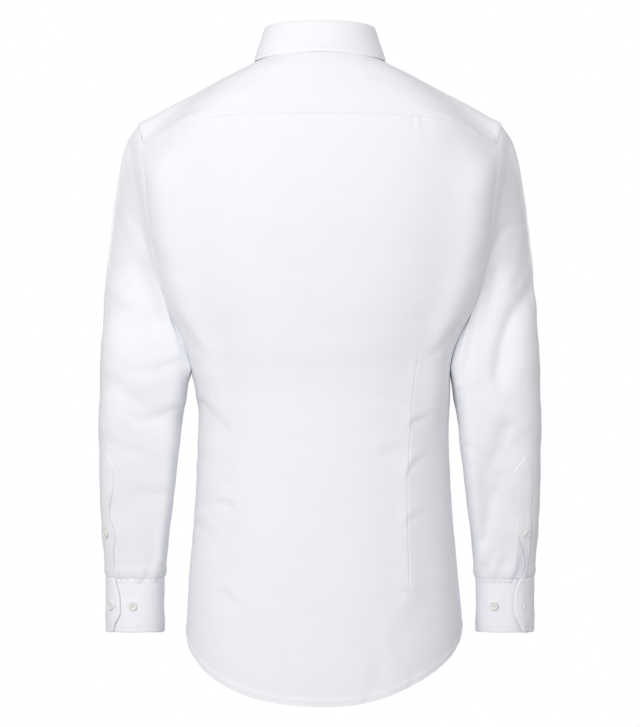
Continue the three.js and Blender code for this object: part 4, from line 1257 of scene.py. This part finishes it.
def leaf_panel():
    """The collar's fall, from its fold down to its edge and its two points."""
    rise = np.concatenate([np.linspace(0, 0.14, 9), np.linspace(0.14, 0.84, 18)[1:],
                           np.linspace(0.84, 1, 11)[1:]])[::-1]
    ring = leaf_ring(rise[:, None])
    share = np.linspace(0, 1, 190)[None]
    reach = 90 - ring.end
    angle = -reach + (180 + 2 * reach) * share
    grid = collar_point(ring, angle)
    tip = smooth_step(40, reach, past_side(angle))
    grid[..., 2] -= 10 * tip * rise[:, None] ** 2
    out = unit(grid * np.array([1, 1, 0]))
    bulge = 0.9 * np.sin(np.pi * rise)[:, None] + unevenness(grid, LEAF_WAVES)
    grid = grid + out * bulge[..., None]
    inset = np.minimum((1 - rise)[:, None] * LEAF_FALL, np.minimum(share, 1 - share) * LEAF_SPAN)
    groove = -0.22 * hump(inset - TOPSTITCH, 0.9) - 0.45 * hump(inset, 0.7)
    return Panel("collar_leaf_fall", grid, LEAF_WALL, lift=groove)


# Buttons

def frame_at(normal, up=(0, 0, 1)):
    """Two directions across a button that faces along normal."""
    normal = unit(np.asarray(normal, float))
    across = unit(np.cross(np.asarray(up, float), normal))
    return across, np.cross(normal, across), normal


def button_mesh(name, place, normal, size, mirror):
    """A round button with a raised rim and four sewing holes, as one closed shape."""
    radius, height = size
    rings = np.concatenate([np.linspace(0.06, 0.5, 17), np.linspace(0.5, 1.0, 15)[1:]]) * radius
    turns = np.radians(np.arange(0, 360, 360 / 56))
    r, t = np.meshgrid(rings, turns, indexing="ij")
    x, y = r * np.cos(t), r * np.sin(t)
    share = r / radius
    rim = 0.34 * hump(share - 0.8, 0.11) - 0.4 * smooth_step(0.9, 1.0, share) ** 2
    top = height * (0.72 + rim)
    hole, spread = 0.13 * radius, BUTTON_HOLE_SPREAD * radius
    for sx in (-1, 1):
        for sy in (-1, 1):
            distance = np.hypot(x - sx * spread, y - sy * spread)
            top = top - 0.3 * height * (1 - smooth_step(0.75 * hole, 1.2 * hole, distance))
    across, up, out = frame_at(normal)
    face = place + x[..., None] * across + y[..., None] * up + top[..., None] * out
    r, t = np.meshgrid(np.array([0.98, 0.75]) * radius, turns, indexing="ij")
    x, y = r * np.cos(t), r * np.sin(t)
    low = np.array([0.25, 0.0])[:, None] * height
    base = place + x[..., None] * across + y[..., None] * up + low[..., None] * out
    grid = np.concatenate([face, base])
    rows, columns = grid.shape[:2]
    points = grid.reshape(-1, 3)
    index = np.arange(rows * columns).reshape(rows, columns)
    after = np.roll(index, -1, axis=1)
    faces = np.stack([index[:-1], index[1:], after[1:], after[:-1]], axis=-1).reshape(-1, 4).tolist()
    faces.append(index[0].tolist())
    faces.append(index[-1][::-1].tolist())
    if mirror < 0:
        faces = [face[::-1] for face in faces]
    return finish_mesh(name, mirror_points(points, mirror), faces, finish_named("pearl_button"), sharp=60)


def button_threads(place, normal, size):
    """Two crossing pairs of stitches over a button, each from one hole to the one across."""
    across, up, out = frame_at(normal)
    spread = BUTTON_HOLE_SPREAD * size.radius
    lines = []
    for sx, sy in ((1, 1), (1, -1)):
        for shift in (-0.16, 0.16):
            lines.append(np.array([
                place + (way * sx * spread - shift * sy) * across + (way * sy * spread + shift * sx) * up
                + level * size.height * out for way, level in STITCH_ARCH]))
    return lines


def buttonhole(place, normal, upright=True):
    """Satin stitches round a narrow slit, at right angles to it, and a bar at each end."""
    across, up, out = frame_at(normal)
    long, short = (up, across) if upright else (across, up)
    half = BUTTONHOLE / 2
    lines = []
    for step in np.arange(-half, half + 0.01, HOLE_STEP):
        for way in (-1, 1):
            near = place + long * step + short * way * 0.25
            far = place + long * step + short * way * 1.35
            lines.append(np.array([near - out * 0.05, (near + far) / 2 + out * 0.22, far - out * 0.05]))
    for way in (-1, 1):
        for step in np.arange(-1.2, 1.21, 0.4):
            end = place + long * way * half + short * step
            lines.append(np.array([end - out * 0.05, end + long * way * 0.7 + out * 0.2,
                                   end + long * way * 1.3 - out * 0.05]))
    return lines


def front_button_places():
    """Place and direction of every button of the front, and of the one on the stand."""
    places = []
    for height in FRONT_BUTTON_HEIGHTS:
        side = float(height)
        for _ in range(8):
            side += height - float(body_base(side, -90.0)[0][2])
        grid = body_cloth(np.array([[side - 2], [side], [side + 2]]), np.array([[-91.0, -90.0, -89.0]]))
        normal = unit(np.cross(grid[1, 2] - grid[1, 0], grid[2, 1] - grid[0, 1]))
        places.append((grid[1, 1], normal))
    lower = collar_point(stand_ring(0.0), -90.0)
    upper = collar_point(stand_ring(1.0), -90.0)
    lean = unit(np.array([0, -(upper[2] - lower[2]), upper[1] - lower[1]]))
    middle = collar_point(stand_ring(0.5), -90.0) + np.array([0, -1.25, 0.8])
    return places, middle, lean


def sleeve_button_places(side):
    """Each button of one sleeve, before mirroring: name, place, direction, size and cloth below it."""
    folds = SLEEVE_FOLDS[side.name]
    height = (CUFF_TOP + CUFF_BOTTOM) / 2
    found = []
    for i, (turned, layer) in enumerate(zip(CUFF_BUTTON_ANGLES, (CUFF_LAYER, -CUFF_LAYER))):
        angle = side.slit + turned
        tangent = unit(cuff_point(angle + 2, layer, height) - cuff_point(angle - 2, layer, height))
        normal = np.array([tangent[1], -tangent[0], 0])
        place = cuff_point(angle, layer, height)
        found.append((f"cuff_button_{i + 1}", place, normal, CUFF_BUTTON, CUFF_WALL / 2))
    along, turned = PLACKET_BUTTON_PLACE
    angle = side.slit + turned
    around = sleeve_tube(along, angle + 2, folds) - sleeve_tube(along, angle - 2, folds)
    down = sleeve_tube(along + 0.1, angle, folds) - sleeve_tube(along - 0.1, angle, folds)
    place = sleeve_tube(along, angle, folds)
    found.append(("placket_button", place, unit(np.cross(down, around)), PLACKET_BUTTON, PLACKET_TOP))
    return found


# Stage, in metres but for the sensor

WHITE = (1.0, 1.0, 1.0, 1)
PAPER = (0.5, 0.5, 0.51, 1)
SKY = (0.985, 0.975, 1.0, 1)
SKY_STRENGTH = 0.582
FLOOR_RADIUS = 1.6
FLOOR_HEIGHT = -1.05
CAMERA_DISTANCE = 5.0
CAMERA_HEIGHT = -0.363
FRAME_HEIGHT = 0.8724
SENSOR = 36.0

# Lights, with their power in watts
Light = namedtuple("Light", "name place aim size power colour")
LIGHTS = (
    Light("key", (1.05, 3.45, 0.6), (0, 0, -0.35), (1.6, 2.0), 63, (1.0, 0.992, 0.985)),
    Light("fill", (-0.4, -3.2, 0.5), (0, 0, -0.35), (1.8, 1.8), 26, (0.98, 0.975, 1.0)),
    Light("top", (0.2, 0.4, 1.9), (0, 0, -0.3), (1.4, 1.4), 3, (1.0, 1.0, 1.0)),
)


def white_to_camera(tree, lit, white, output):
    """Shows the camera one shader, and lets another one meet the light."""
    seen = add_node(tree, "ShaderNodeLightPath", {})
    mix = add_node(tree, "ShaderNodeMixShader", {
        "Fac": seen.outputs["Is Camera Ray"], 1: lit.outputs[0], 2: white.outputs[0]})
    add_node(tree, output, {"Surface": mix.outputs[0]})


def stage_material():
    """White paper that the camera sees as pure white, as in a bright studio."""
    material, tree, _ = new_material("studio_paper")
    tree.nodes.clear()
    paper = add_node(tree, "ShaderNodeBsdfDiffuse", {"Color": PAPER})
    glow = add_node(tree, "ShaderNodeEmission", {"Color": WHITE, "Strength": 1.0})
    white_to_camera(tree, paper, glow, "ShaderNodeOutputMaterial")
    return material


def add_world():
    """A pale sky that lights the shirt, and that the camera sees as pure white."""
    world = bpy.data.worlds.new("studio")
    bpy.context.scene.world = world
    world.use_nodes = True
    tree = world.node_tree
    tree.nodes.clear()
    sky = add_node(tree, "ShaderNodeBackground", {"Color": SKY, "Strength": SKY_STRENGTH})
    white = add_node(tree, "ShaderNodeBackground", {"Color": WHITE, "Strength": 1.0})
    white_to_camera(tree, sky, white, "ShaderNodeOutputWorld")


def aim_object(obj, place, direction):
    obj.location = place
    obj.rotation_mode = "QUATERNION"
    obj.rotation_quaternion = Vector(direction).to_track_quat("-Z", "Y")


def add_light(light):
    data = bpy.data.lights.new(light.name, "AREA")
    data.shape = "RECTANGLE"
    data.size, data.size_y = light.size
    data.energy = light.power
    data.color = light.colour
    aim_object(add_object(light.name, data), light.place, Vector(light.aim) - Vector(light.place))


# Properties, operators and the panel

class ShirtSizes(bpy.types.PropertyGroup):
    """Sizes of the cloth and the sewing."""
    cloth: FloatProperty(name="Cloth", description="Thickness of the panels with their turned edges",
                         default=0.0009, unit="LENGTH", precision=5)
    band: FloatProperty(name="Bands", description="Thickness of the sleeve plackets", default=0.0010,
                        unit="LENGTH", precision=5)
    seam_step: FloatProperty(name="Seam tuck", description="How far the back dips under the yoke's edge",
                             default=0.0007, unit="LENGTH", precision=5)
    yoke_step: FloatProperty(name="Yoke step", description="How far the yoke's edge stands on the back",
                             default=0.0004, unit="LENGTH", precision=5)
    stitch_pitch: FloatProperty(name="Stitch pitch", description="From one stitch to the next",
                                default=0.0024, unit="LENGTH", precision=5)
    stitch_length: FloatProperty(name="Stitch length", description="Length of a stitch on the cloth",
                                 default=0.0017, unit="LENGTH", precision=5)
    thread_radius: FloatProperty(name="Thread radius", description="Half the thickness of the thread",
                                 default=0.00017, unit="LENGTH", precision=5)


class ShirtColours(bpy.types.PropertyGroup):
    """Colours of the cloth, buttons and thread."""
    cotton: FloatVectorProperty(name="Cotton", description="Colour of the shirt's cloth", subtype="COLOR",
                                default=(0.864, 0.850, 0.902), size=3, min=0, max=1)
    under_placket: FloatVectorProperty(name="Under placket", description="Colour of the hidden band",
                                       subtype="COLOR", default=(0.85, 0.845, 0.91), size=3, min=0, max=1)
    button: FloatVectorProperty(name="Buttons", description="Colour of the buttons", subtype="COLOR",
                                default=(0.70, 0.69, 0.62), size=3, min=0, max=1)
    thread: FloatVectorProperty(name="Thread", description="Colour of the sewing thread", subtype="COLOR",
                                default=(0.86, 0.87, 0.9), size=3, min=0, max=1)


class SHIRT_OT_stage(bpy.types.Operator):
    """Set the floor, the soft studio light and the camera behind the shirt"""
    bl_idname = "shirt.stage"
    bl_label = "Stage"

    def execute(self, context):
        scene = context.scene
        scene.view_settings.view_transform = "Standard"
        turns = np.radians(np.arange(0, 360, 5))
        rim = np.stack([np.cos(turns), np.sin(turns), np.zeros(turns.shape)], axis=1) * FLOOR_RADIUS
        points = (rim + np.array([0, 0, FLOOR_HEIGHT])) / METRE
        paper = finish_mesh("studio_floor", points, [range(len(points))], stage_material())
        add_world()
        for light in LIGHTS:
            add_light(light)
        data = bpy.data.cameras.new("camera")
        data.sensor_width = SENSOR
        data.lens = SENSOR * CAMERA_DISTANCE / FRAME_HEIGHT
        data.clip_end = 100
        scene.camera = add_object("camera", data)
        aim_object(scene.camera, (0, CAMERA_DISTANCE, CAMERA_HEIGHT), (0, -1, 0))
        return {"FINISHED"}


class SHIRT_OT_back(bpy.types.Operator):
    """Cut the back with its two darts"""
    bl_idname = "shirt.back"
    bl_label = "Back"

    def execute(self, context):
        panel = back_panel(context.scene.shirt_sizes)
        sew_piece(panel, "back", (0.56, 0.74), ["yoke"], held="hung")
        stitched("back_hem_stitches", [panel.line("first", HEM_STITCH)])
        return {"FINISHED"}


class SHIRT_OT_yoke(bpy.types.Operator):
    """Cut the yoke and sew it down along its seams"""
    bl_idname = "shirt.yoke"
    bl_label = "Yoke"

    def execute(self, context):
        panel = yoke_panel(context.scene.shirt_sizes)
        sew_piece(panel, "yoke", (0.50, 0.24), ["back", "left_front", "right_front"])
        near, far = YOKE_STITCHES
        stitched("yoke_stitches", [panel.line("first", near, trim=(20, 20)),
                                   panel.line("first", far, trim=(24, 24)),
                                   panel.line("start", YOKE_END_STITCH), panel.line("end", YOKE_END_STITCH)])
        return {"FINISHED"}


class SHIRT_OT_fronts(bpy.types.Operator):
    """Cut the two fronts, the left over the right"""
    bl_idname = "shirt.fronts"
    bl_label = "Fronts"

    def execute(self, context):
        for name in ("left_front", "right_front"):
            panel = front_panel(name, context.scene.shirt_sizes)
            sew_piece(panel, name, (0.32, 0.78), ["yoke"], held="hung")
            band = [panel.line("end", inset) for inset in FRONT_STITCHES]
            stitched(name + "_stitches", [panel.line("first", HEM_STITCH), *band])
        return {"FINISHED"}


class SHIRT_OT_sleeves(bpy.types.Operator):
    """Cut the two sleeves with their openings and plackets"""
    bl_idname = "shirt.sleeves"
    bl_label = "Sleeves and plackets"

    def execute(self, context):
        sizes = context.scene.shirt_sizes
        for side in SIDES:
            sleeve = side.name + "_sleeve"
            sew_piece(sleeve_panel(side, sizes), sleeve, (0.46, 0.60), ["back", "yoke"], held="hung",
                      mirror=side.mirror)
            placket = gauntlet_panel(side, sizes)
            sew_piece(placket, sleeve + "_placket", (0.030, 0.155), [sleeve], mirror=side.mirror)
            sew_piece(under_placket_panel(side, sizes), side.name + "_under_placket", (0.017, 0.12), [sleeve],
                      finish="under_cotton", mirror=side.mirror)
            lines = [placket.line("start", PLACKET_STITCH, trim=(3, 0)),
                     placket.line("end", PLACKET_STITCH, trim=(3, 0)),
                     placket.line("start", PLACKET_SECOND_STITCH, trim=(3, 12)),
                     placket.line("last", PLACKET_BOX, trim=(1, 1))]
            stitched(side.name + "_placket_stitches", lines, side.mirror)
        return {"FINISHED"}


class SHIRT_OT_cuffs(bpy.types.Operator):
    """Cut and topstitch the two cuffs"""
    bl_idname = "shirt.cuffs"
    bl_label = "Cuffs"

    def execute(self, context):
        for side in SIDES:
            panel = cuff_panel(side)
            sew_piece(panel, side.name + "_cuff", (0.28, 0.066), [side.name + "_sleeve"],
                      finish="interlined_cotton", slot="interlined_cotton", mirror=side.mirror)
            lines = [panel.line(edge, TOPSTITCH, trim=(trim, trim))
                     for edge, trim in (("first", 9), ("last", 6), ("start", 8))]
            stitched(side.name + "_cuff_stitches", lines, side.mirror)
        return {"FINISHED"}


class SHIRT_OT_collar(bpy.types.Operator):
    """Cut the collar's stand and its turned-down leaf"""
    bl_idname = "shirt.collar"
    bl_label = "Collar"

    def execute(self, context):
        interlined = {"finish": "interlined_cotton", "slot": "interlined_cotton"}
        stand = stand_panel()
        sew_piece(stand, "collar_stand", (0.52, 0.042), ["yoke"], **interlined)
        leaf = leaf_panel()
        sew_piece(leaf, "collar_leaf", (0.52, 0.085), ["collar_stand"], held="folded", **interlined)
        lines = [leaf.line(edge, TOPSTITCH, trim=trim)
                 for edge, trim in (("first", (5, 5)), ("start", (5, 8)), ("end", (5, 8)))]
        stitched("collar_stitches", [*lines, stand.line("first", STAND_STITCH)])
        return {"FINISHED"}


class SHIRT_OT_buttons(bpy.types.Operator):
    """Sew on the buttons and work the buttonholes"""
    bl_idname = "shirt.buttons"
    bl_label = "Buttons and buttonholes"

    def execute(self, context):
        cloth = context.scene.shirt_sizes.cloth / METRE
        places, stand_place, stand_lean = front_button_places()
        buttons = [(1, f"front_button_{i + 1}", place, normal, FRONT_BUTTON, cloth / 2)
                   for i, (place, normal) in enumerate(places)]
        buttons.append((1, "stand_button", stand_place, stand_lean, FRONT_BUTTON, STAND_WALL / 2))
        for side in SIDES:
            for name, *button in sleeve_button_places(side):
                buttons.append((side.mirror, f"{side.name}_{name}", *button))
        thread_lines, hole_lines = [], []
        for mirror, name, place, normal, size, wall in buttons:
            seat = place + normal * (wall + BUTTON_CLEARANCE)
            piece = button_mesh(name + "_face", seat, normal, size, mirror)
            carry(piece, name)
            thread_lines += [mirror_points(line, mirror) for line in button_threads(seat, normal, size)]
            if name.endswith("cuff_button_2"):
                continue
            upright = not name.endswith(("stand_button", "cuff_button_1"))
            hole = buttonhole(place + normal * wall, normal, upright)
            hole_lines += [mirror_points(line, mirror) for line in hole]
        threads("button_threads", thread_lines, BUTTON_THREAD)
        threads("buttonhole_threads", hole_lines, HOLE_THREAD)
        return {"FINISHED"}


class SHIRT_PT_panel(bpy.types.Panel):
    """Lists the steps that make the shirt, and its sizes and colours"""
    bl_label = "Dress shirt"
    bl_idname = "SHIRT_PT_panel"
    bl_space_type = "VIEW_3D"
    bl_region_type = "UI"
    bl_category = "Shirt"

    def draw(self, context):
        for group in (context.scene.shirt_sizes, context.scene.shirt_colours):
            for name in group.__annotations__:
                self.layout.prop(group, name)
        for step in STEPS:
            self.layout.operator(step.bl_idname)


STEPS = (SHIRT_OT_stage, SHIRT_OT_back, SHIRT_OT_yoke, SHIRT_OT_fronts, SHIRT_OT_sleeves, SHIRT_OT_cuffs,
         SHIRT_OT_collar, SHIRT_OT_buttons)
CLASSES = (ShirtSizes, ShirtColours, *STEPS, SHIRT_PT_panel)


def register():
    for cls in CLASSES:
        bpy.utils.register_class(cls)
    bpy.types.Scene.shirt_sizes = PointerProperty(type=ShirtSizes)
    bpy.types.Scene.shirt_colours = PointerProperty(type=ShirtColours)


def unregister():
    del bpy.types.Scene.shirt_colours
    del bpy.types.Scene.shirt_sizes
    for cls in reversed(CLASSES):
        bpy.utils.unregister_class(cls)


def main():
    register()
    bpy.ops.shirt.stage()
    bpy.ops.shirt.back()
    bpy.ops.shirt.yoke()
    bpy.ops.shirt.fronts()
    bpy.ops.shirt.sleeves()
    bpy.ops.shirt.cuffs()
    bpy.ops.shirt.collar()
    bpy.ops.shirt.buttons()


if __name__ == "__main__":
    main()
